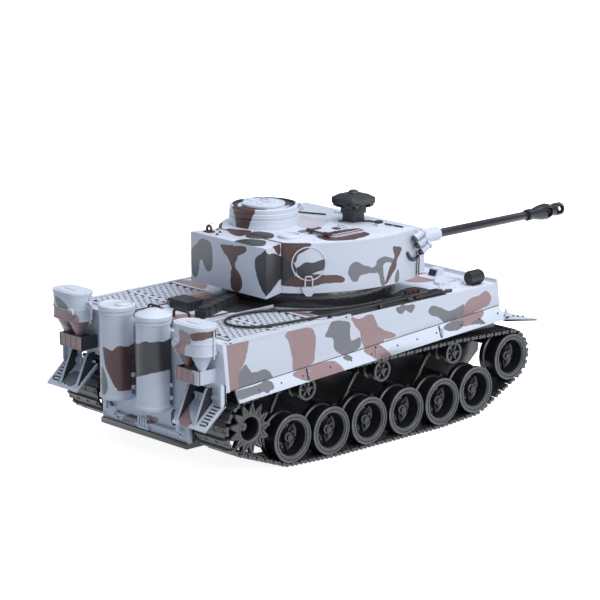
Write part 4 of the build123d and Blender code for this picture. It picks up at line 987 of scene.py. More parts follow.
def turret_outline(inset):
    """Turret plan from the front port round by the left: an oval with flat front and back."""
    a, b, oval_x = TURRET_A - inset, TURRET_B - inset, TURRET_OVAL_X
    front, back, steps = TURRET_FRONT - inset, TURRET_BACK + inset, 60
    first, last = math.acos((front - oval_x) / a), math.acos((back - oval_x) / a)
    turns = [first + (last - first) * step / steps for step in range(steps + 1)]
    left = [(oval_x + a * math.cos(turn), b * math.sin(turn)) for turn in turns]
    return [(front, PORT_HALF)] + left + [(x, -y) for x, y in reversed(left)] + [(front, -PORT_HALF)]


PORT_HALF, PORT_TOP = 9.4, 94.7


def build_turret_shell():
    """Turret wall with the thick front plate round the gun's port."""
    piece = Piece("turret_shell_looks", "turret", turret_paint, white)
    low, high, wall = TURRET_LOW, TURRET_HIGH, 1.8
    outer, inner = turret_outline(0), turret_outline(wall)
    rows = [[(x, y, z) for x, y in line] for line, z in ((outer, low), (outer, high), (inner, high),
                                                         (inner, low))]
    count = len(outer)
    loops = [tuple(row * count for row in range(4)),
             tuple(row * count + count - 1 for row in reversed(range(4)))]
    for row in range(4):
        below, above = row * count, (row + 1) % 4 * count
        loops += [(below + n, below + n + 1, above + n + 1, above + n) for n in range(count - 1)]
    piece.faces([point for row in rows for point in row], loops)
    piece.box((45.0 - wall, -PORT_HALF, PORT_TOP), (45.0, PORT_HALF, high), 0)
    front, half = 51.5, 41.5
    for y0, y1 in ((-half, -PORT_HALF), (PORT_HALF, half)):
        piece.box((44.8, y0, 80.6), (front, y1, 103.6), 1)
    piece.box((44.8, -PORT_HALF, PORT_TOP), (front, PORT_HALF, 103.6), 1)
    floor = [(x, y) for x, y in turret_outline(0.5) if x < 36.0]
    piece.flat_prism(floor, low, low + 1.6, 1)
    piece.finish("turret_shell", bevel=0.2)


def build_cupola():
    """Commander's cupola: two bands with a groove between them and a thin upper rim, whose top and inner edge
    are charcoal as painted shade for the crack round the lid.
    """
    piece = Piece("cupola_looks", "turret", cupola_paint, charcoal)
    low, top, r = TURRET_HIGH, CUPOLA_TOP, CUPOLA_R
    profile = [
        (r, low), (r, low + 4.3), (r - 0.45, low + 4.6), (r - 0.45, low + 5.0), (r - 0.05, low + 5.3),
        (r - 0.1, low + 7.4),
        (r - 0.5, low + 7.7), (r - 0.4, low + 8.2), (r - 0.4, top - 0.5), (r - 0.8, top), (r - 1.8, top),
        (r - 2.1, top - 0.8), (r - 4.6, top - 0.8), (9.9, top - 0.8), (9.9, low),
    ]
    # the two charcoal stretches on the rim's top and inner edge are painted shade for the crack round the lid
    slots = [0] * 10 + [1] * 2 + [0] * 3
    piece.lathe(profile, (CUPOLA_X, CUPOLA_Y, 0), (0, 0, 1), 96, slots, closed=True)
    piece.finish("cupola", bevel=0.1)


def build_cupola_hatch():
    """Round lid with a raised ring, an arched grab handle and four small lugs."""
    piece = Piece("cupola_hatch_looks", "cupola_lid", white, charcoal)
    low, high = span("cupola_hatch")[0].z, span("cupola_hatch")[1].z
    top, x, y = low + 1.3, CUPOLA_X, CUPOLA_Y
    piece.lathe([(0, low), (11.4, low), (11.4, top - 0.2), (11.2, top), (10.5, top), (10.4, top - 0.3),
                 (9.4, top - 0.3),
                 (9.3, top + 0.1), (0, top + 0.1)], (x, y, 0), (0, 0, 1), 72, [0] * 8)
    piece.box((x - 2.4, y + 8.5, low), (x + 2.4, y + 12.6, top + 0.3))
    piece.rod(0.9, (x - 3.2, y + 12.6, low + 0.9), (x + 3.2, y + 12.6, low + 0.9), 16)
    rise = high - top - 0.5
    piece.tube(arch((x + 1.2, y - 3.6, top), (x + 1.2, y + 3.6, top), (0, 0, rise)), 0.45, 10)
    piece.lathe([(0, top + 0.7), (1.5, top + 0.7), (1.9, top + 0.3), (1.9, top)], (x - 3.2, y - 0.6, 0),
                (0, 0, 1), 20, [0] * 3)
    for number in range(4):
        turn = math.radians(45 + 90 * number)
        piece.dome(0.8, 0.5, (x + 6.6 * math.cos(turn), y + 6.6 * math.sin(turn), top + 0.08), (0, 0, 1),
                   12)
    for lean in (-1, 1):
        piece.box((x - 4.9, y + lean * 4.4 - 0.8, top), (x - 2.7, y + lean * 4.4 + 0.8, top + 0.9))
    piece.finish("cupola_hatch", bevel=0.12)


def build_escape_hatch():
    """Round side hatch with a raised rim, a U-shaped handle and the toothed latch plate below it."""
    piece = Piece("escape_hatch_looks", "turret", turret_paint, white)
    high = span("escape_hatch")[1]
    a, b, oval_x = TURRET_A, TURRET_B, TURRET_OVAL_X
    turn = math.radians(-135.4)
    x, y = oval_x + a * math.cos(turn), b * math.sin(turn)
    out = Vector(((x - oval_x) / a ** 2, y / b ** 2, 0)).normalized()
    along = Vector((-out.y, out.x, 0))
    top = Vector((x, y, high.z - 8.9))
    radius = 8.9
    piece.lathe([(0, -1.2), (radius - 0.1, -1.2), (radius - 0.1, 0.55), (radius - 0.5, 0.75), (0, 0.75)],
                top, out, 64,
                [0] * 4)
    piece.lathe([(radius, 0.2), (radius, 1.0), (radius - 0.55, 1.0), (radius - 0.55, 0.2)], top, out, 64,
                [1] * 4,
                closed=True)
    foot = Vector((x, y, 82.6)) + out * 1.3
    half, teeth = 3.3, 5
    outline = [(-half, 0.6), (half, 0.6), (half, -0.6), (half * 0.82, -2.4), (half * 0.4, -4.2)]
    outline += [(-u, v) for u, v in reversed(outline[2:])]
    up = Vector((0, 0, 1))
    piece.prism(outline, lambda u, v, end: tuple(foot + along * u + up * v + out * (0.3 if end else -2.2)), 1)
    for number in range(teeth):
        u = (number - (teeth - 1) / 2) * 1.15
        drop = -0.9 - 0.5 * (number % 2)
        spot = foot + along * u + Vector((0, 0, drop)) + out * 0.3
        piece.dome(0.42, 0.3, spot, out, 10, 1)
    handle_low, handle_high = foot + Vector((0, 0, 0.5)), 5.6
    piece.tube(arch(handle_low - along * 1.9 + out * 0.1, handle_low + along * 1.9 + out * 0.1,
                    (0, 0, handle_high)), 0.4, 10, 1)
    piece.finish("escape_hatch", bevel=0.1)


def build_fittings():
    """Roof fittings: double-ring ventilator, lifting eyes, periscope block, thin rods and the pod's stem."""
    piece = Piece("turret_fittings_looks", "turret", white, brown, charcoal, dark_plastic)
    top = TURRET_HIGH
    vent = (-22.5, -16.3)
    piece.lathe([(0, top + 1.2), (4.2, top + 1.2), (4.3, top + 0.7), (4.8, top + 0.7), (4.9, top + 1.6),
                 (5.7, top + 1.6),
                 (6.2, top + 1.1), (6.2, top - 0.2), (0, top - 0.2)], (*vent, 0), (0, 0, 1), 56, [0] * 8)
    for (x, y), slot in (((-44.5, 21.5), 1), ((28.0, 30.0), 0)):
        ring = [(x, y + 1.7 * math.cos(a), top + 1.5 + 1.9 * math.sin(a)) for a in
                (math.radians(-50 + 280 * step / 14) for step in range(15))]
        piece.tube(ring, 0.75, 10, slot)
        piece.flat_prism(rounded((x - 2.2, y - 3.2), (x + 2.2, y + 3.2), 1.4), top - 0.1, top + 0.5, slot)
    for x, y in ((-46.5, 13.0), (-41.5, 16.4), (-38.0, 22.4)):
        piece.dome(0.8, 0.9, (x, y, top), (0, 0, 1), 10, 1)
    piece.box((29.0, -29.0, top - 0.1), (34.0, -25.0, top + 1.2), 0)
    piece.box((29.8, -28.4, top + 1.0), (33.4, -25.6, top + 2.6), 2)
    for line, slot in ((((22.5, 25.5), (29.0, 11.0)), 2), (((22.0, -6.0), (34.5, -17.5), (36.5, -40.0)), 2),
                       (((38.0, 14.0), (38.0, -3.0)), 0)):
        piece.tube([(x, y, top + 0.45) for x, y in line], 0.45, 8, slot)
    for x, y in ((-30.0, 36.0), (6.0, 38.0), (34.0, 20.0), (36.0, -33.0), (20.0, -40.0), (-18.0, -31.0)):
        piece.dome(0.9, 0.5, (x, y, top), (0, 0, 1), 12, 0)
    stem_x, stem_y = centre("sensor_pod").x, centre("sensor_pod").y
    piece.flat_prism(rounded((stem_x - 4.4, stem_y - 4.4), (stem_x + 4.4, stem_y + 4.4), 1.0), top - 0.1,
                     109.9, 3)
    piece.flat_prism(rounded((stem_x - 4.5, stem_y - 4.5), (stem_x + 4.5, stem_y + 4.5), 1.0), top - 0.1,
                     top + 1.2, 3)
    for lean in (-2.4, 0.0, 2.4):
        piece.box((stem_x - 4.5, stem_y + lean - 0.5, top + 1.6),
                  (stem_x + 4.5, stem_y + lean + 0.5, 109.0), 3)
        piece.box((stem_x + lean - 0.5, stem_y - 4.5, top + 1.6),
                  (stem_x + lean + 0.5, stem_y + 4.5, 109.0), 3)
    piece.finish("turret_fittings", bevel=0.12)


def build_loader_hatch():
    """Loader's lid: rounded plate with a raised border, two knuckled hinges, cross ribs and a handle."""
    piece = Piece("loader_hatch_looks", "loader_lid", roof_paint, brown, white)
    low, high = span("loader_hatch")
    x0, x1, y0, y1 = -8.0, 16.0, -34.0, -13.0
    z0 = low.z
    piece.flat_prism(rounded((x0, y0), (x1, y1), 4.0), z0, z0 + 1.0, 0)
    piece.flat_prism(rounded((x0 + 1.6, y0 + 1.6), (x1 - 1.6, y1 - 1.6), 3.0), z0 + 0.9, z0 + 1.5, 0)
    for y in (y0 + 4.0, y1 - 4.0):
        piece.rod(1.1, (x0 - 0.8, y - 1.8, z0 + 1.5), (x0 - 0.8, y + 1.8, z0 + 1.5), 18, slot=1)
        piece.flat_prism([(x0 - 0.8, y - 1.1), (x0 + 6.5, y - 0.8), (x0 + 7.5, y), (x0 + 6.5, y + 0.8),
                          (x0 - 0.8, y + 1.1)],
                         z0 + 1.2, z0 + 2.1, 1)
        piece.dome(0.6, 0.4, (x0 + 5.0, y, z0 + 2.1), (0, 0, 1), 10, 1)
    piece.tube([(x0 - 0.8, y0 + 5.4, z0 + 1.5), (x0 - 0.8, y1 - 5.4, z0 + 1.5)], 0.5, 8, 1)
    piece.tube(arch((x1 - 7.4, -27.0, z0 + 1.2), (x1 - 7.4, -20.0, z0 + 1.2), (0, 0, high.z - z0 - 1.7)),
               0.42, 10, 2)
    piece.box((x0 + 10.5, -25.4, z0 + 1.4), (x0 + 13.5, -21.6, z0 + 2.0), 1)
    piece.finish("loader_hatch", bevel=0.12)


def build_dischargers():
    """Three white tubes a side in a raked stack, with dark rear caps and bores painted charcoal as shade
    inside them, on one bracket.
    """
    bases = [(35.0, -49.4, 101.0), (37.2, -49.2, 97.2), (40.0, -49.0, 93.2)]
    aim = Vector((0.85, -0.10, 0.5)).normalized()
    piece = Piece("smoke_dischargers_looks", "turret", white, charcoal)
    for base in bases:
        start = Vector(base)
        # the bore's wall and floor are charcoal: painted shade inside the tube; the rear cap is charcoal too
        piece.lathe([(0, 0), (1.5, 0), (1.5, 1.1), (1.95, 1.2), (1.95, 2.8), (1.75, 2.9), (1.75, 6.6),
                     (2.1, 6.7),
                     (2.1, 8.0), (1.4, 8.0), (1.4, 3.4), (0, 3.4)], start, aim, 28,
                    [1, 1, 1, 0, 0, 0, 0, 0, 0, 1, 1])
    first, last = Vector(bases[0]) + aim * 3.6, Vector(bases[2]) + aim * 3.6
    inside = Vector((0, 2.2, 0))
    piece.tube([first + inside, last + inside], 1.1, 10, 0)
    for base in bases:
        spot = Vector(base) + aim * 3.6
        piece.tube([spot, spot + inside * 1.6], 0.9, 10, 0)
    piece.mirrored()
    hose = [(41.2, -46.9, 91.0), (39.0, -47.6, 90.2), (36.4, -48.2, 90.0), (34.2, -48.4, 91.0),
            (32.6, -48.4, 92.8),
            (31.6, -48.2, 94.6)]
    piece.tube(hose, 0.9, 10, 1)
    for x, y in ((40.6, -46.3), (43.4, -45.2)):
        piece.tube([(x, y, 93.5), (x + 0.3, y + 0.1, 88.0), (x - 0.1, y, 80.4)], 0.3, 8, 1)
    piece.finish("smoke_dischargers", bevel=0.08)


build_turret_shell()
build_cupola()
build_cupola_hatch()
build_escape_hatch()
build_fittings()
build_loader_hatch()
build_dischargers()


# ---------------------------------------------------------------- rear details
PLATE_FACE = span("rear_plate")[1].x - 2.4          # rear face of the back wall


def stadium(middle, spread, radius, steps=14):
    """Outline of a round-ended slot along Y."""
    x, y = middle
    points = []
    for centre_y, begin in ((y + spread / 2, 0), (y - spread / 2, 180)):
        for step in range(steps + 1):
            turn = math.radians(begin + 180 * step / steps)
            points.append((x + radius * math.cos(turn), centre_y + radius * math.sin(turn)))
    return points


def build_air_filters():
    """Twin-cyclone air filters: lidded oval drum, two cones, a panelled bracket box and an eyed lug."""
    piece = Piece("air_filters_looks", "hull", filter_paint, white, charcoal)
    high = span("air_filters")[1]
    x, y_near, y_far, radius = -114.3, -53.0, -43.4, 7.2
    middle, spread = (x, (y_near + y_far) / 2), abs(y_near - y_far)
    body_low, body_high = 66.7, high.z - 1.9
    piece.flat_prism(stadium(middle, spread, radius - 0.15), body_low, body_high, 0)
    for z0, z1, grow in ((body_low, body_low + 0.8, 0.05), (72.6, 73.3, 0.1),
                         (body_high - 0.2, body_high + 1.2, 0.35)):
        piece.flat_prism(stadium(middle, spread, radius + grow), z0, z1, 0)
    piece.flat_prism(stadium(middle, spread, radius - 1.3), body_high + 1.1, body_high + 1.5, 1)
    piece.flat_prism(stadium((x + 1.0, middle[1]), spread * 0.55, radius - 4.2), body_high + 1.4, high.z, 1)
    box_top = 58.6
    for y in (y_near, y_far):
        piece.lathe([(0, 0), (5.6, 0), (5.6, -0.9), (5.0, -1.4), (2.1, box_top - body_low + 0.4),
                     (2.1, box_top - body_low - 0.1), (0, box_top - body_low - 0.1)],
                    (x, y, body_low + 0.1), (0, 0, 1), 32, [0] * 6)
    for y in (y_near - radius - 0.1, y_far + radius + 0.1):
        piece.rod(0.45, (x + 1.5, y, body_low - 1.6), (x + 1.5, y, body_high - 1.0), 10, slot=1)
    disc = (x - radius + 0.2, y_far + 1.8, 71.2)
    piece.lathe([(0, 0.5), (1.2, 0.5), (1.3, 0.2), (1.9, 0.2), (2.2, 0.6), (2.6, 0.6), (2.8, -0.6),
                 (0, -0.6)],
                disc, (-1, 0, 0), 28, [0] * 7)
    lug_y, lug_z = y_far + radius + 1.4, 75.5
    piece.lathe([(0.8, -0.6), (2.0, -0.6), (2.0, 0.6), (0.8, 0.6)], (x, lug_y, lug_z), (1, 0, 0), 24,
                [1] * 4, closed=True)
    piece.box((x - 0.6, y_far + radius - 0.6, lug_z - 1.6), (x + 0.6, lug_y - 1.4, lug_z + 1.6), 1)
    x0, x1, y0, y1, z0, z1, wall = -118.0, PLATE_FACE + 0.2, -55.0, -37.3, 51.6, box_top, 0.9
    piece.box((x0, y0, z0), (x0 + wall, y1, z1), 0)
    piece.box((x0 + 0.1, y0, z0), (x1, y0 + wall, z1), 1)
    # the inner side wall and the fill set 1.4 mm below the open top are charcoal: painted shade in the gap
    # toward the exhausts and in the box's hollow
    piece.box((x0 + 0.1, y1 - wall, z0), (x1, y1, z1), 2)
    piece.box((x0 + 0.3, y0 + 0.3, z0 + 0.1), (x1, y1 - 0.3, z1 - 1.4), 2)
    panels = 4
    for number in range(panels + 1):
        y = y0 + 0.35 + (y1 - y0 - 0.7) * number / panels
        piece.box((x0 - 0.28, y - 0.35, z0 + 0.1), (x0 + 0.1, y + 0.35, z1 - 0.1), 0)
    for z in (z0, z1 - 0.7):
        piece.box((x0 - 0.2, y0, z), (x0 + 0.1, y1, z + 0.7), 0)
    piece.mirrored()
    piece.finish("air_filters", bevel=0.12)


def build_exhausts():
    """Two exhaust shrouds: double top rings, a stepped foot ring, one flat cap and one coned cap."""
    piece = Piece("exhaust_tubes_looks", "hull", exhaust_paint, white, charcoal)
    low = span("exhaust_tubes")[0]
    x, radius, foot, top = -112.8, 9.0, low.z, 79.2
    for side in (-1, 1):
        y = 14.4 * side
        profile = [(0, foot + 0.4), (radius - 0.5, foot + 0.4), (radius - 0.5, foot + 1.0),
                   (radius + 0.1, foot + 1.2),
                   (radius + 0.5, foot + 1.4), (radius + 0.5, foot + 2.6), (radius + 0.1, foot + 2.9),
                   (radius - 0.1, foot + 3.6), (radius - 0.1, top - 4.0), (radius + 0.3, top - 3.8),
                   (radius + 0.3, top - 3.0), (radius - 0.1, top - 2.8), (radius - 0.1, top - 1.9),
                   (radius + 0.45, top - 1.7), (radius + 0.45, top + 0.3), (radius - 0.1, top + 0.8)]
        if side < 0:
            profile += [(radius - 0.8, top + 1.0), (radius * 0.42, top + 2.9), (radius * 0.2, top + 3.2),
                        (0, top + 3.3)]
        else:
            profile += [(radius - 0.9, top + 0.8), (radius - 1.1, top + 0.3), (0, top + 0.3)]
        piece.lathe(profile, (x, y, 0), (0, 0, 1), 72, [0] * 8 + [1] * (len(profile) - 9))
    piece.lathe([(0, top + 1.2), (3.4, top + 1.2), (3.8, top + 0.9), (3.8, top + 0.2), (0, top + 0.2)],
                (x + 1.5, 14.4 - 2.6, 0), (0, 0, 1), 32, [1] * 4)
    for side, turn in ((-1, -64), (1, -72)):
        u, v = math.cos(math.radians(turn)), math.sin(math.radians(turn))
        at_x, at_y = x + (radius + 0.3) * u, 14.4 * side + (radius + 0.3) * v
        piece.rod(0.5, (at_x, at_y, foot + 3.4), (at_x, at_y, foot + 22.0), 10, slot=2)
        for z in (foot + 6.0, foot + 12.5):
            piece.rod(1.15, (at_x, at_y, z), (at_x, at_y, z + 2.0), 14, slot=1)
    for side in (-1, 1):
        piece.box((PLATE_FACE - 4.0, 14.4 * side - 7.0, foot + 0.6),
                  (PLATE_FACE + 0.2, 14.4 * side + 7.0, foot + 3.0), 1)
        piece.box((PLATE_FACE - 3.0, 14.4 * side - 7.6, top - 6),
                  (PLATE_FACE + 0.2, 14.4 * side + 7.6, top - 3.0), 2)
    piece.finish("exhaust_tubes", bevel=0.14)


def build_mudflaps():
    """Rear mudflaps: sloping slotted plate, two dark triangular braces and the upright outer leaf."""
    piece = Piece("mudflaps_looks", "hull", rear_paint, white, charcoal)
    low = span("mudflaps")[0]
    face, inner, outer = PLATE_FACE, -37.7, -62.6
    tip_x, tip_z, thick = low.x, low.z, 1.2
    slope = (42.2 - (tip_z + 0.6)) / (face - tip_x)
    piece.side_prism([(face, 42.2), (tip_x, tip_z + 0.6), (tip_x + 0.4, tip_z), (face, 42.2 - thick - 0.2)],
                     outer, inner, 0)

    def on_flap(x):
        return tip_z + 0.6 + slope * (x - tip_x)

    for y in (inner - 0.5, outer + 0.5):
        piece.side_prism([(face, 42.9), (tip_x + 0.1, tip_z + 1.2), (tip_x + 0.1, tip_z + 0.1),
                          (face, 41.4)],
                         y - 0.5, y + 0.5, 0)
    for y, width in ((-40.6, 0.9), (-53.6, 0.9)):
        piece.side_prism([(face, 48.8), (face - 4.4, 48.8), (tip_x + 1.6, on_flap(tip_x + 1.6) + 0.2),
                          (face, 41.6)],
                         y, y + width, 2)
        piece.side_prism([(face - 4.2, 49.2), (tip_x + 1.2, on_flap(tip_x + 1.2) + 0.6),
                          (tip_x + 1.2, on_flap(tip_x + 1.2)),
                          (face - 5.2, 48.2)], y - 0.35, y + width + 0.35, 1)
    for number in range(4):
        y = -41.8 - 3.0 * number
        x = face - 1.6
        piece.box((x - 1.0, y - 2.0, on_flap(x) + 0.2), (x + 1.0, y - 0.2,
                                                         on_flap(x) + 3.4 - 0.6 * (number % 2)), 1)
    piece.rod(0.7, (face - 1.4, outer + 0.6, 44.0), (face - 1.4, inner - 0.6, 44.0), 12, slot=1)
    # charcoal bars laid on the flap for its slots: painted shade standing in for the open slots
    for number in range(7):
        x = face - 2.6 - 1.5 * number
        piece.box((x - 0.35, outer + 2.0, on_flap(x) - 0.1), (x + 0.35, outer + 6.6, on_flap(x) + 0.35), 2,
                  Matrix.Rotation(-math.atan(slope), 3, "Y"))
    for x, y in ((face - 10.6, outer + 1.8), (face - 10.6, inner - 1.8), (face - 12.0, -50.0)):
        piece.dome(0.6, 0.45, (x, y, on_flap(x)), (-0.64, 0, 0.77), 10, 2)
    piece.box((face - thick, outer, 40.9), (face, -50.5, 51.6), 1)
    piece.box((face - 3.4, outer, 40.9), (face - 0.1, outer + 1.2, 51.6), 1)
    piece.box((face - 1.6, outer + 2.0, 42.6), (face - 0.3, -51.5, 43.6), 1)
    piece.mirrored()
    piece.finish("mudflaps", bevel=0.1)


def build_rear_fittings():
    """Tow bar on brackets, comb-shaped middle bracket, tow hooks and bolts on the back wall."""
    piece = Piece("rear_fittings_looks", "hull", rear_paint, white, charcoal)
    face, bar_x, bar_z = PLATE_FACE, PLATE_FACE - 1.5, 20.0
    piece.rod(0.55, (bar_x, -31.0, bar_z), (bar_x, 22.0, bar_z), 12, slot=2)
    for y in (-30.2, 21.2):
        piece.box((bar_x - 0.9, y - 1.0, bar_z - 1.6), (face + 0.1, y + 1.0, bar_z + 1.6), 1)
        piece.dome(0.6, 0.4, (bar_x - 0.9, y, bar_z), (-1, 0, 0), 10, 2)
    for number in range(4):
        y = 2.6 - 2.0 * number
        piece.box((bar_x - 1.0, y - 0.55, bar_z - 2.6), (face + 0.1, y + 0.55, bar_z + 2.4), 1)
    piece.box((bar_x - 0.5, -4.2, bar_z - 3.4), (face + 0.1, 3.4, bar_z - 2.4), 1)
    piece.box((bar_x - 0.8, -4.4, bar_z + 0.6), (bar_x, 3.4, bar_z + 1.6), 2)
    for y in (-24.5, 24.5):
        hook = [(face - 0.2, y, 31.0), (face - 1.7, y, 31.2), (face - 2.5, y, 29.6), (face - 2.5, y, 25.6),
                (face - 1.9, y, 24.0),
                (face - 0.2, y, 23.8)]
        piece.tube(hook, 0.75, 10, 2)
        piece.box((face - 1.0, y - 1.2, 22.6), (face + 0.1, y + 1.2, 32.2), 0)
    for y in (-33.0, 33.0):
        for z in (18.0, 45.0, 66.0):
            piece.dome(0.9, 0.5, (face, y, z), (-1, 0, 0), 14, 1)
    for y in (-58.0, 58.0):
        for z in (56.0, 68.0):
            piece.dome(0.8, 0.5, (face, y, z), (-1, 0, 0), 14, 1)
    piece.finish(bevel=0.1, like="rear_plate")


# ---------------------------------------------------------------- hull sides and deck
HULL_SIDE_LOW, HULL_SIDE_HIGH = 63.0, 60.1          # half widths at z 46 and at the deck


def side_y(z):
    """Half width of the hull's sloping side at a height."""
    return HULL_SIDE_HIGH + (HULL_SIDE_LOW - HULL_SIDE_HIGH) * (DECK - z) / (DECK - 46.0)


def crease(x):
    """Height of the crease between the side and the skirt."""
    return 48.1 + (59.4 - 48.1) * (x - HULL_REAR) / (HULL_FRONT - HULL_REAR)


def skirt_low(x):
    """Height of the lower edge of the skirt."""
    return crease(x) - 6.5 - 0.6 * (x - HULL_REAR) / (HULL_FRONT - HULL_REAR)


def build_hull_trim():
    """Edge strip along the deck, the shadow line over the crease, rivets, seam ribs with painted shade on
    their rear halves and corner bolts.
    """
    piece = Piece("hull_trim_looks", "hull", white, charcoal, skirt_paint)
    strip_end = -21.0
    piece.side_prism([(HULL_REAR + 0.2, DECK - 0.6), (strip_end, DECK - 0.6), (strip_end, DECK + 0.7),
                      (HULL_REAR + 0.2, DECK + 0.7)],
                     -side_y(DECK) - 0.35, -side_y(DECK) + 1.5, 0)
    piece.box((strip_end - 1.0, -side_y(DECK) - 0.45, DECK - 1.6),
              (strip_end + 0.6, -side_y(DECK) + 1.6, DECK + 0.9), 0)
    for x in (HULL_REAR + 2.5, strip_end - 3.0):
        piece.dome(0.55, 0.4, (x, -side_y(DECK) - 0.35, DECK + 0.1), (0, -1, 0), 10, 1)
    steps = 8
    for number in range(steps):
        x0, x1 = [HULL_REAR + 0.4 + (HULL_FRONT - HULL_REAR - 0.8) * (number + end) / steps for end in (0,
                                                                                                        1)]
        z0, z1 = crease(x0), crease(x1)
        y0, y1 = -side_y(z0), -side_y(z1)
        piece.hexa([(x0, y0 - 0.12, z0 - 0.25), (x1, y1 - 0.12, z1 - 0.25), (x1, y1 + 0.5, z1 - 0.25),
                    (x0, y0 + 0.5, z0 - 0.25)],
                   [(x0, y0 - 0.12, z0 + 0.1), (x1, y1 - 0.12, z1 + 0.1), (x1, y1 + 0.5, z1 + 0.1),
                    (x0, y0 + 0.5, z0 + 0.1)], 1)
    for x in (-87, -72, -57.4, -38.5, -23.8, -9.3, 9.4, 23.7, 38.1, 56.8, 70.5, 84.8):
        z = crease(x) - 3.4
        lean = (66.0 - side_y(crease(x))) / 7.0
        y = -side_y(crease(x)) - lean * 3.4
        piece.dome(0.55, 0.35, (x, y, z), (0, -1, 0.4), 10, 1)
    # each seam rib is a charcoal strip beside a skirt-painted strip: the charcoal is painted shade on the
    # rib's rear side
    for x in (-53.5, -4.9, 41.5):
        high, low_z = crease(x) - 0.6, skirt_low(x) + 0.8
        y_high, y_low = -side_y(crease(x)) - 0.1, -65.4
        for shift, slot in ((-0.55, 1), (0.45, 2)):
            lean_x = shift - 1.2
            piece.hexa([(x + lean_x, y_low - 0.45, low_z), (x + lean_x + 0.8, y_low - 0.45, low_z),
                        (x + lean_x + 0.8, y_low + 0.6, low_z), (x + lean_x, y_low + 0.6, low_z)],
                       [(x + shift, y_high - 0.45, high), (x + shift + 0.8, y_high - 0.45, high),
                        (x + shift + 0.8, y_high + 0.6, high), (x + shift, y_high + 0.6, high)], slot)
    piece.mirrored()
    piece.finish(bevel=0.06, segments=1, like="side_skirts")


def build_fenders():
    """Front fender flaps: thin plate with a row of bolts along each edge and a triangular end rib."""
    piece = Piece("front_fenders_looks", "hull", white, charcoal)
    low, high = span("front_fenders")
    outer, inner, start, tip = low.y, -37.0, HULL_FRONT, high.x
    z0, z1 = 52.3, 47.9
    piece.side_prism([(start, z0), (tip, z1), (tip, z1 - 0.7), (start, z0 - 1.2)], outer, inner, 0)
    for y in (outer + 0.45, inner - 0.45):
        piece.side_prism([(start, z0 + 1.6), (tip - 3.0, z1 + 1.4), (tip, z1), (tip, z1 - 0.7),
                          (start, z0 - 1.2)],
                         y - 0.45, y + 0.45, 0)
    piece.side_prism([(start + 0.2, high.z - 0.2), (start + 5.0, z0 + 0.6), (start + 0.2, z0)], outer,
                     outer + 1.0, 0)
    bolts = 6
    for number in range(bolts):
        x = start + 3.5 + (tip - start - 6.5) * number / (bolts - 1)
        z = z0 + (z1 - z0) * (x - start) / (tip - start)
        for y in (outer + 2.4, outer + 8.0, inner - 2.4):
            piece.dome(0.75, 0.8, (x, y, z), (0, 0, 1), 10, 1)
    piece.mirrored()
    piece.finish("front_fenders", bevel=0.08)


def rope_line():
    """Points along the middle of the tow rope, read from a smooth curve through its route."""
    height = centre("tow_cable").z
    route = [(22.0, -57.2), (-6.0, -58.0), (-32.0, -56.8), (-56.0, -53.8), (-73.0, -52.0), (-81.5, -45.5),
             (-83.0, -35.0),
             (-76.5, -26.8), (-64.0, -24.2), (-50.0, -26.8), (-37.5, -38.0), (-23.0, -49.8), (-2.0, -53.6),
             (22.0, -53.8)]
    data = bpy.data.curves.new("tow_rope_line", "CURVE")
    data.dimensions = "3D"
    data.resolution_u = 24
    spline = data.splines.new("NURBS")
    spline.points.add(len(route) - 1)
    for point, (x, y) in zip(spline.points, route):
        point.co = (x, y, height, 1)
    spline.order_u = 3
    spline.use_endpoint_u = True
    holder = bpy.data.objects.new("tow_rope_line", data)
    bpy.context.scene.collection.objects.link(holder)
    bpy.context.view_layer.update()
    mesh = bpy.data.meshes.new_from_object(holder.evaluated_get(bpy.context.evaluated_depsgraph_get()))
    line = [vert.co.copy() for vert in mesh.vertices]
    bpy.data.objects.remove(holder)
    bpy.data.curves.remove(data)
    bpy.data.meshes.remove(mesh)
    return line


def build_tow_rope():
    """Twisted tow rope: four strands laid round the rope's line."""
    line = rope_line()
    piece = Piece("tow_rope_looks", "hull", rope)
    lengths = [0.0]
    for before, after in zip(line, line[1:]):
        lengths.append(lengths[-1] + (after - before).length)
    step, lay, strand_r, offset, strands = 0.45, 4.2, 0.38, 0.34, 4

    def place(distance):
        index = max(n for n, length in enumerate(lengths[:-1]) if length <= distance)
        share = (distance - lengths[index]) / max(lengths[index + 1] - lengths[index], 1e-9)
        heading = (line[index + 1] - line[index]).normalized()
        return line[index].lerp(line[index + 1], share), Vector((-heading.y, heading.x, 0))

    count = int(lengths[-1] / step)
    spots = [place(lengths[-1] * number / count) for number in range(count + 1)]
    for strand in range(strands):
        points = []
        for number, (middle, across) in enumerate(spots):
            turn = 2 * math.pi * (number * lengths[-1] / count / lay + strand / strands)
            points.append(middle + offset * (across * math.cos(turn) + Vector((0, 0, math.sin(turn)))))
        piece.tube(points, strand_r, 6, 0)
    piece.finish("tow_cable", bevel=0)


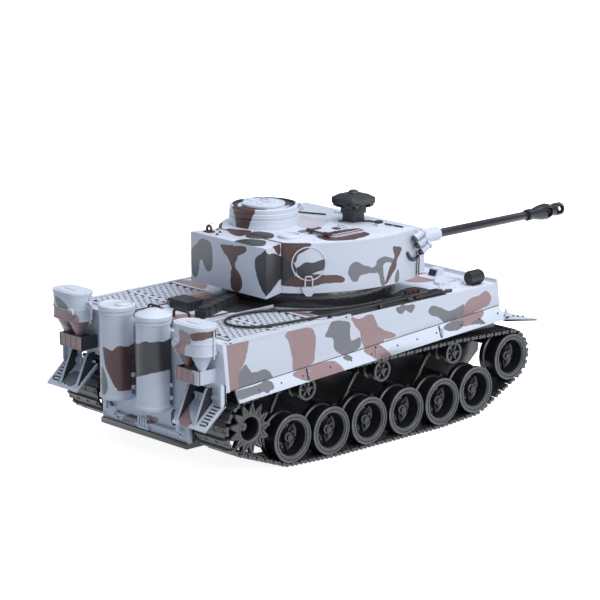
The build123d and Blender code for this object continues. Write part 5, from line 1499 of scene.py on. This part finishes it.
def build_grilles():
    """Engine grilles: a frame, rows of short slats, a black sheet under them as painted shade for the depth
    and charcoal lines between the rows as painted shade.
    """
    piece = Piece("deck_grilles_looks", "hull", white, charcoal, black)
    high = span("deck_grilles")[1]
    x0, x1, y0, y1 = -100.5, -40.0, -58.3, -21.5
    top = high.z
    frame_w = 1.6
    # black sheet under the grille: painted shade standing in for the depth below the slats
    piece.box((x0, y0, DECK), (x1 - 2.0, y1, DECK + 0.25), 2)
    for a, b in (((x0, y0), (x1, y0 + frame_w)), ((x0, y1 - frame_w), (x1 - 3.0, y1)),
                 ((x0, y0 + 0.2), (x0 + frame_w, y1 - 0.2)),
                 ((x1 - frame_w, y0 + 0.2), (x1, y1 - 9.0))):
        piece.box((*a, DECK), (*b, top), 0)
    piece.box((x0 + 29.0, y0 + 0.3, DECK), (x0 + 31.0, y1 - 0.3, top), 0)
    columns, rows = 15, 11
    for column in range(columns):
        for row in range(rows):
            x = x0 + 3.4 + (x1 - x0 - 6.8) * (column + 0.5) / columns
            y = y0 + 2.6 + (y1 - y0 - 5.2) * (row + 0.5) / rows
            if math.hypot(x - TURRET_X, y) < 48.6 or abs(x - x0 - 30.0) < 1.8:
                continue
            shift = 0.9 if row % 2 else -0.9
            piece.box((x + shift - 1.45, y - 0.75, DECK + 0.2), (x + shift + 1.45, y + 0.75, top - 0.1), 0)
    # charcoal lines between the slat rows: painted shade in the gaps
    for row in range(rows + 1):
        y = y0 + 2.6 + (y1 - y0 - 5.2) * row / rows
        reach = math.sqrt(max(48.2 ** 2 - y ** 2, 0)) if abs(y) < 48 else 0
        end = min(x1 - 1.0, TURRET_X - reach) if reach else x1 - 1.0
        piece.box((x0 + 1.0, y - 0.2, DECK + 0.1), (end, y + 0.2, DECK + 0.6), 1)
    piece.mirrored()
    piece.finish("deck_grilles", bevel=0.08, segments=1)


def build_engine_hatch():
    """Middle engine cover: ribbed plate, air-trunk box, two sloping trunks and a dark lifting handle."""
    piece = Piece("engine_hatch_looks", "hull", hull_paint, charcoal, mauve, dark_plastic)
    low = span("engine_hatch")[0]
    x0, half, top = low.x, 20.0, DECK + 1.6
    reach = [math.sqrt(47.4 ** 2 - y * y) for y in (-20.0, -10.0, 0.0, 10.0, 20.0)]
    edge = [(TURRET_X - r, y) for r, y in zip(reach, (-20.0, -10.0, 0.0, 10.0, 20.0))]
    piece.flat_prism([(x0, half), (x0, -half)] + edge, DECK, top, 0)
    piece.box((x0 + 1.2, -18.5, top - 0.1), (x0 + 2.2, 18.5, top + 0.5), 1)
    for y in (-18.6, 17.8):
        piece.box((x0 + 1.2, y, top - 0.1), (x0 + 40.0, y + 0.8, top + 0.5), 1)
    piece.box((-80.0, -2.0, top - 0.1), (-70.0, 12.0, top + 4.6), 3)
    piece.box((-80.6, -2.6, top + 3.6), (-69.4, 12.6, top + 5.0), 3)
    for number in range(4):
        piece.box((-79.4 + 2.4 * number, -2.3, top + 0.6), (-78.2 + 2.4 * number, -1.9, top + 3.4), 1)
    turned = Matrix.Rotation(math.radians(22), 3, "Z")
    piece.box((-84.6, -12.2, top - 0.1), (-47.4, -5.8, top + 3.6), 1, turned)
    piece.box((-83.0, -11.6, top + 3.2), (-49.0, -6.4, top + 4.8), 1, turned)
    for number in range(5):
        x = -80.0 + 7.0 * number
        dx, dy = x + 66.0, 0.0
        mid_x, mid_y = -66.0 + dx * math.cos(math.radians(22)), -9.0 + dx * math.sin(math.radians(22)) + dy
        piece.box((mid_x - 0.5, mid_y - 3.5, top), (mid_x + 0.5, mid_y + 3.5, top + 5.0), 3, turned)
    piece.box((-77.0, 12.2, top - 0.1), (-51.0, 17.8, top + 2.8), 2)
    piece.box((-75.0, 12.8, top + 2.5), (-53.0, 17.2, top + 3.6), 2)
    piece.tube(arch((-91.0, -16.5, top), (-91.0, -4.5, top), (0, 0, 4.2)), 0.75, 10, 3)
    piece.tube(arch((-91.0, 5.5, top), (-91.0, 15.5, top), (0, 0, 3.0)), 0.6, 10, 3)
    for x, y in ((-96.0, -14.0), (-96.0, 14.0), (-86.0, 16.0), (-62.0, 3.0), (-56.0, 6.0)):
        piece.dome(1.0, 0.6, (x, y, top), (0, 0, 1), 12, 0)
    piece.finish("engine_hatch", bevel=0.14)


def build_deck_tools():
    """Crowbar, shovel, jack block, rope eyes, clips and small ribs on the right of the deck."""
    piece = Piece("deck_tools_looks", "hull", charcoal, brown, dark_plastic, white)
    low, z = DECK, centre("tow_cable").z
    piece.rod(0.75, (28.0, -57.9, low + 0.9), (54.0, -57.9, low + 0.9), 10, slot=2)
    piece.box((51.0, -58.7, low), (55.0, -57.1, low + 1.6), 2)
    piece.rod(0.75, (28.0, -53.3, low + 0.9), (42.5, -53.3, low + 0.9), 10, slot=1)
    piece.flat_prism([(42.0, -54.2), (44.0, -55.9), (51.0, -55.9), (52.0, -53.2), (51.0, -50.6),
                      (44.0, -50.6), (42.0, -52.4)],
                     low, low + 1.3, 2)
    piece.box((43.0, -53.6, low + 1.2), (49.0, -53.0, low + 2.0), 2)
    piece.box((30.0, -49.5, low), (40.0, -47.8, low + 2.8), 1)
    for x in (31.5, 35.0, 38.5):
        piece.box((x - 0.4, -49.8, low), (x + 0.4, -47.5, low + 3.0), 2)
    for x in (32.0, 48.0):
        piece.box((x - 0.6, -58.8, low), (x + 0.6, -57.0, low + 1.8), 2)
    for y in (-57.2, -53.8):
        piece.lathe([(1.0, -0.6), (2.0, -0.6), (2.0, 0.6), (1.0, 0.6)], (24.06, y, z), (0, 0, 1), 24,
                    [2] * 4, closed=True)
    for x, y in ((-32.0, -56.8), (2.0, -57.8), (2.0, -53.7), (-70.0, -52.3)):
        piece.box((x - 0.6, y - 1.3, low), (x + 0.6, y + 1.3, z + 0.4), 2)
    piece.box((57.0, -47.5, low), (63.0, -46.5, low + 0.8), 3)
    piece.box((56.0, -53.5, low), (63.0, -52.5, low + 0.8), 3)
    piece.finish("deck_tools", bevel=0.1)


def build_headlights():
    """Ribbed round headlights on short feet."""
    piece = Piece("headlights_looks", "hull", dark_plastic, black)
    low, high = span("headlights")
    x0, x1, y, z, r = low.x, high.x, -54.0, high.z - 3.95, 3.5
    profile = [(0, 0), (r - 0.5, 0), (r, 0.5)]
    ribs = 4
    for number in range(ribs):
        begin = 1.4 + (x1 - x0 - 3.4) * number / (ribs - 1)
        profile += [(r, begin), (r + 0.4, begin + 0.15), (r + 0.4, begin + 0.75), (r, begin + 0.9)]
    profile += [(r, x1 - x0 - 0.3), (r - 0.4, x1 - x0), (r - 0.9, x1 - x0), (r - 1.0, x1 - x0 - 0.6),
                (0, x1 - x0 - 0.3)]
    piece.lathe(profile, (x0, y, z), (1, 0, 0), 36, [0] * (len(profile) - 1))
    piece.box((x0 + 2.4, y - 1.6, DECK - 0.1), (x0 + 6.4, y + 1.6, z - 2.0), 0)
    piece.box((x0 + 1.6, y - 2.6, DECK - 0.1), (x0 + 7.2, y + 2.6, DECK + 0.7), 0)
    for number in range(6):
        turn = math.radians(60 * number + 30)
        piece.dome(0.4, 0.3, (x0, y + 2.3 * math.cos(turn), z + 2.3 * math.sin(turn)), (-1, 0, 0), 8, 1)
    piece.mirrored()
    piece.finish("headlights", bevel=0.1)


def build_hull_hatches():
    """Front crew hatches with raised rims and lugs, dark periscopes and the driver's visor."""
    piece = Piece("hull_hatches_looks", "hull", white, charcoal, dark_plastic)
    x, y, radius = 69.5, -42.0, 8.0
    piece.lathe([(0, 0.9), (5.4, 0.9), (5.6, 0.6), (6.6, 0.6), (6.8, 1.2), (7.7, 1.2), (radius, 0.8),
                 (radius, -0.1), (0, -0.1)],
                (x, y, DECK), (0, 0, 1), 56, [0] * 8)
    piece.tube(arch((x - 2.5, y - 2.5, DECK + 0.8), (x + 2.5, y - 2.5, DECK + 0.8), (0, 0, 1.0)), 0.4, 8, 0)
    piece.box((x - 9.2, y - 2.0, DECK - 0.1), (x - 6.6, y + 2.0, DECK + 1.3), 0)
    low, high = DECK, DECK + 4.4
    piece.side_prism([(72.0, low), (78.0, low), (78.0, high), (74.0, high)], -29.7, -23.3, 0)
    piece.side_prism([(72.2, low + 0.9), (73.6, high - 0.7), (73.2, high - 0.6), (71.8, low + 0.9)], -28.9,
                     -24.1, 2)
    piece.flat_prism(rounded((66.5, -32.0), (82.0, -20.5), 1.5), low - 0.1, low + 0.5, 0)
    piece.mirrored()
    piece.box((HULL_FRONT, 8.0, 63.0), (HULL_FRONT + 1.6, 26.0, 67.5), 0)
    piece.box((HULL_FRONT + 1.4, 10.0, 64.6), (HULL_FRONT + 1.6, 24.0, 65.8), 2)
    piece.finish("hull_hatches", bevel=0.12)


def build_sensor_pod():
    """Turning pod: hipped ribbed roof on four cut-out cheeks, side port and an eight-sided cap."""
    piece = Piece("sensor_pod_looks", "sensor_head", dark_plastic, charcoal)
    low, high = span("sensor_pod")
    x, y, half = centre("sensor_pod").x, centre("sensor_pod").y, (high.x - low.x) / 2
    waist, brim, shoulder = 113.6, 117.4, 120.2

    def square(size, cut):
        return [(x + sx * u, y + sy * v) for sx, sy, first in ((1, 1, True), (-1, 1, False), (-1, -1, True),
                                                               (1, -1, False))
                for u, v in (((size, size - cut), (size - cut, size)) if first else ((size - cut, size),
                                                                                     (size, size - cut)))]

    def loft(levels, slot=0):
        rows = [[(u, v, z) for u, v in square(size, cut)] for size, cut, z in levels]
        count = len(rows[0])
        loops = [tuple(reversed(range(count)))]
        for row in range(len(rows) - 1):
            loops += [(row * count + n, row * count + (n + 1) % count, (row + 1) * count + (n + 1) % count,
                       (row + 1) * count + n) for n in range(count)]
        loops.append(tuple(range((len(rows) - 1) * count, len(rows) * count)))
        piece.faces([point for row in rows for point in row], loops, slot)

    loft([(5.4, 1.2, low.z), (5.4, 1.2, waist - 1.0), (half - 2.6, 1.0, waist),
          (half - 2.0, 1.0, brim - 0.6)])
    loft([(half - 0.3, 0.8, brim - 2.2), (half, 0.8, brim - 1.6), (half, 0.8, brim + 1.0),
          (half - 2.6, 1.2, shoulder),
          (3.6, 1.2, shoulder + 0.4)])
    for turn in range(4):
        spin = Matrix.Rotation(math.radians(90 * turn), 3, "Z")
        at = Vector((x, y, 0))
        for lean in (-1, 1):
            corner = [(half - 2.6, lean * (half - 3.2) - 1.3, waist - 0.6),
                      (half, lean * (half - 3.2) - 1.3, waist + 0.6),
                      (half, lean * (half - 3.2) + 1.3, waist + 0.6),
                      (half - 2.6, lean * (half - 3.2) + 1.3, waist - 0.6)]
            lower = [tuple(at + spin @ Vector(point)) for point in corner]
            upper = [tuple(at + spin @ Vector((u, v, brim - 0.8))) for u, v, _ in corner]
            piece.hexa(lower, upper)
        for number in range(5):
            v = (number - 2) * 2.2
            bottom = at + spin @ Vector((half - 0.4, v, brim + 0.1))
            top = at + spin @ Vector((half - 3.8, v * 0.72, shoulder + 0.05))
            piece.tube([bottom, top], 0.42, 8, 0)
        port = at + spin @ Vector((half - 2.6, -1.8, 0))
        out = spin @ Vector((1, 0, 0))
        piece.lathe([(0, 0.2), (1.1, 0.2), (1.2, 0.9), (1.7, 0.9), (1.9, -0.4), (0, -0.4)],
                    port + Vector((0, 0, 115.0)), out, 20, [1, 1, 0, 0, 0])
    piece.lathe([(0, 0), (3.2, 0), (3.2, 0.9), (2.6, 1.3), (2.4, high.z - shoulder - 0.3),
                 (1.6, high.z - shoulder), (0, high.z - shoulder)],
                (x, y, shoulder), (0, 0, 1), 8, [0] * 6)
    piece.finish("sensor_pod", bevel=0.12)


for build in (build_air_filters, build_exhausts, build_mudflaps, build_rear_fittings, build_hull_trim,
              build_fenders,
              build_tow_rope, build_grilles, build_engine_hatch, build_deck_tools, build_headlights,
              build_hull_hatches, build_sensor_pod):
    build()


# ---------------------------------------------------------------- CAD nodes that stay
def dress(node, material, width=0.2):
    """Gives a CAD node its material and moulded edges."""
    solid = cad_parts[node]
    solid.data.materials.clear()
    solid.data.materials.append(material)
    for face in solid.data.polygons:
        face.use_smooth = True
    if width:
        weld = solid.modifiers.new("joined", "WELD")
        weld.merge_threshold = 0.002 * MM
        round_edges(solid, width, sharp=30)


DRESSED = {
    "upper_hull": hull_paint, "side_skirts": skirt_paint, "rear_plate": rear_paint,
    "turret_roof": roof_paint, "stowage_bin": bin_paint, "turret_ring": ring_black, "mantlet": white,
    "gun_barrel": gunmetal, "muzzle_brake": gunmetal, "lower_hull": black, "suspension_arms": black,
    "battery_cover": black, "battery_pack": dark_plastic, "circuit_board": dark_plastic,
    "drive_gearbox": black,
    "motors": steel, "power_switch": dark_plastic, "screws": gunmetal,
}
for node, material in DRESSED.items():
    dress(node, material)


# ---------------------------------------------------------------- studio
def studio():
    """Pale floor, soft lights and the camera."""
    half = 12.0
    corners = [(-half, -half), (half, -half), (half, half), (-half, half)]
    ground = bmesh.new()
    ground.faces.new([ground.verts.new((x, y, cad_low.z - 0.0002)) for x, y in corners])
    data = bpy.data.meshes.new("floor")
    ground.to_mesh(data)
    ground.free()
    floor = bpy.data.objects.new("floor", data)
    bpy.context.scene.collection.objects.link(floor)
    paper = Shader("paper", roughness=0.6)
    paper.surface.inputs["Emission Color"].default_value = (1, 1, 1, 1)
    paper.surface.inputs["Emission Strength"].default_value = 0.86
    data.materials.append(paper.finish(paper.tint((0.93, 0.93, 0.93), 0.01, 3), grain=0.0,
                                       rough=(0.6, 0.65)))
    floor.visible_diffuse = False

    world = bpy.data.worlds.new("studio_air")
    bpy.context.scene.world = world
    world.use_nodes = True
    world.node_tree.nodes["Background"].inputs["Color"].default_value = (0.73, 0.86, 1.0, 1)
    world.node_tree.nodes["Background"].inputs["Strength"].default_value = 0.40

    def softbox(name, place, size, power):
        light = bpy.data.lights.new(name, "AREA")
        light.shape, light.size, light.energy = "RECTANGLE", size[0], power
        light.size_y = size[1]
        lamp = bpy.data.objects.new(name, light)
        lamp.location = place
        lamp.rotation_mode = "QUATERNION"
        lamp.rotation_quaternion = (Vector((0, 0, 0.06)) - Vector(place)).to_track_quat("-Z", "Y")
        bpy.context.scene.collection.objects.link(lamp)

    softbox("top_box", (0.1, -0.2, 1.6), (1.5, 1.3), 22)
    softbox("side_box", (-0.02, -1.55, 0.7), (1.3, 0.9), 15.5)
    softbox("front_box", (1.6, 0.2, 0.8), (1.2, 0.8), 2)

    camera_at, look_at = Vector((-1.0127, -1.0503, 0.4131)), Vector((-0.0410, 0, 0.0657))
    lens = bpy.data.cameras.new("camera")
    lens.lens = 167.0
    camera = bpy.data.objects.new("camera", lens)
    camera.location = camera_at
    camera.rotation_mode = "QUATERNION"
    camera.rotation_quaternion = (look_at - camera_at).to_track_quat("-Z", "Y")
    bpy.context.scene.collection.objects.link(camera)
    bpy.context.scene.camera = camera
    bpy.context.scene.view_settings.view_transform = "Standard"


studio()
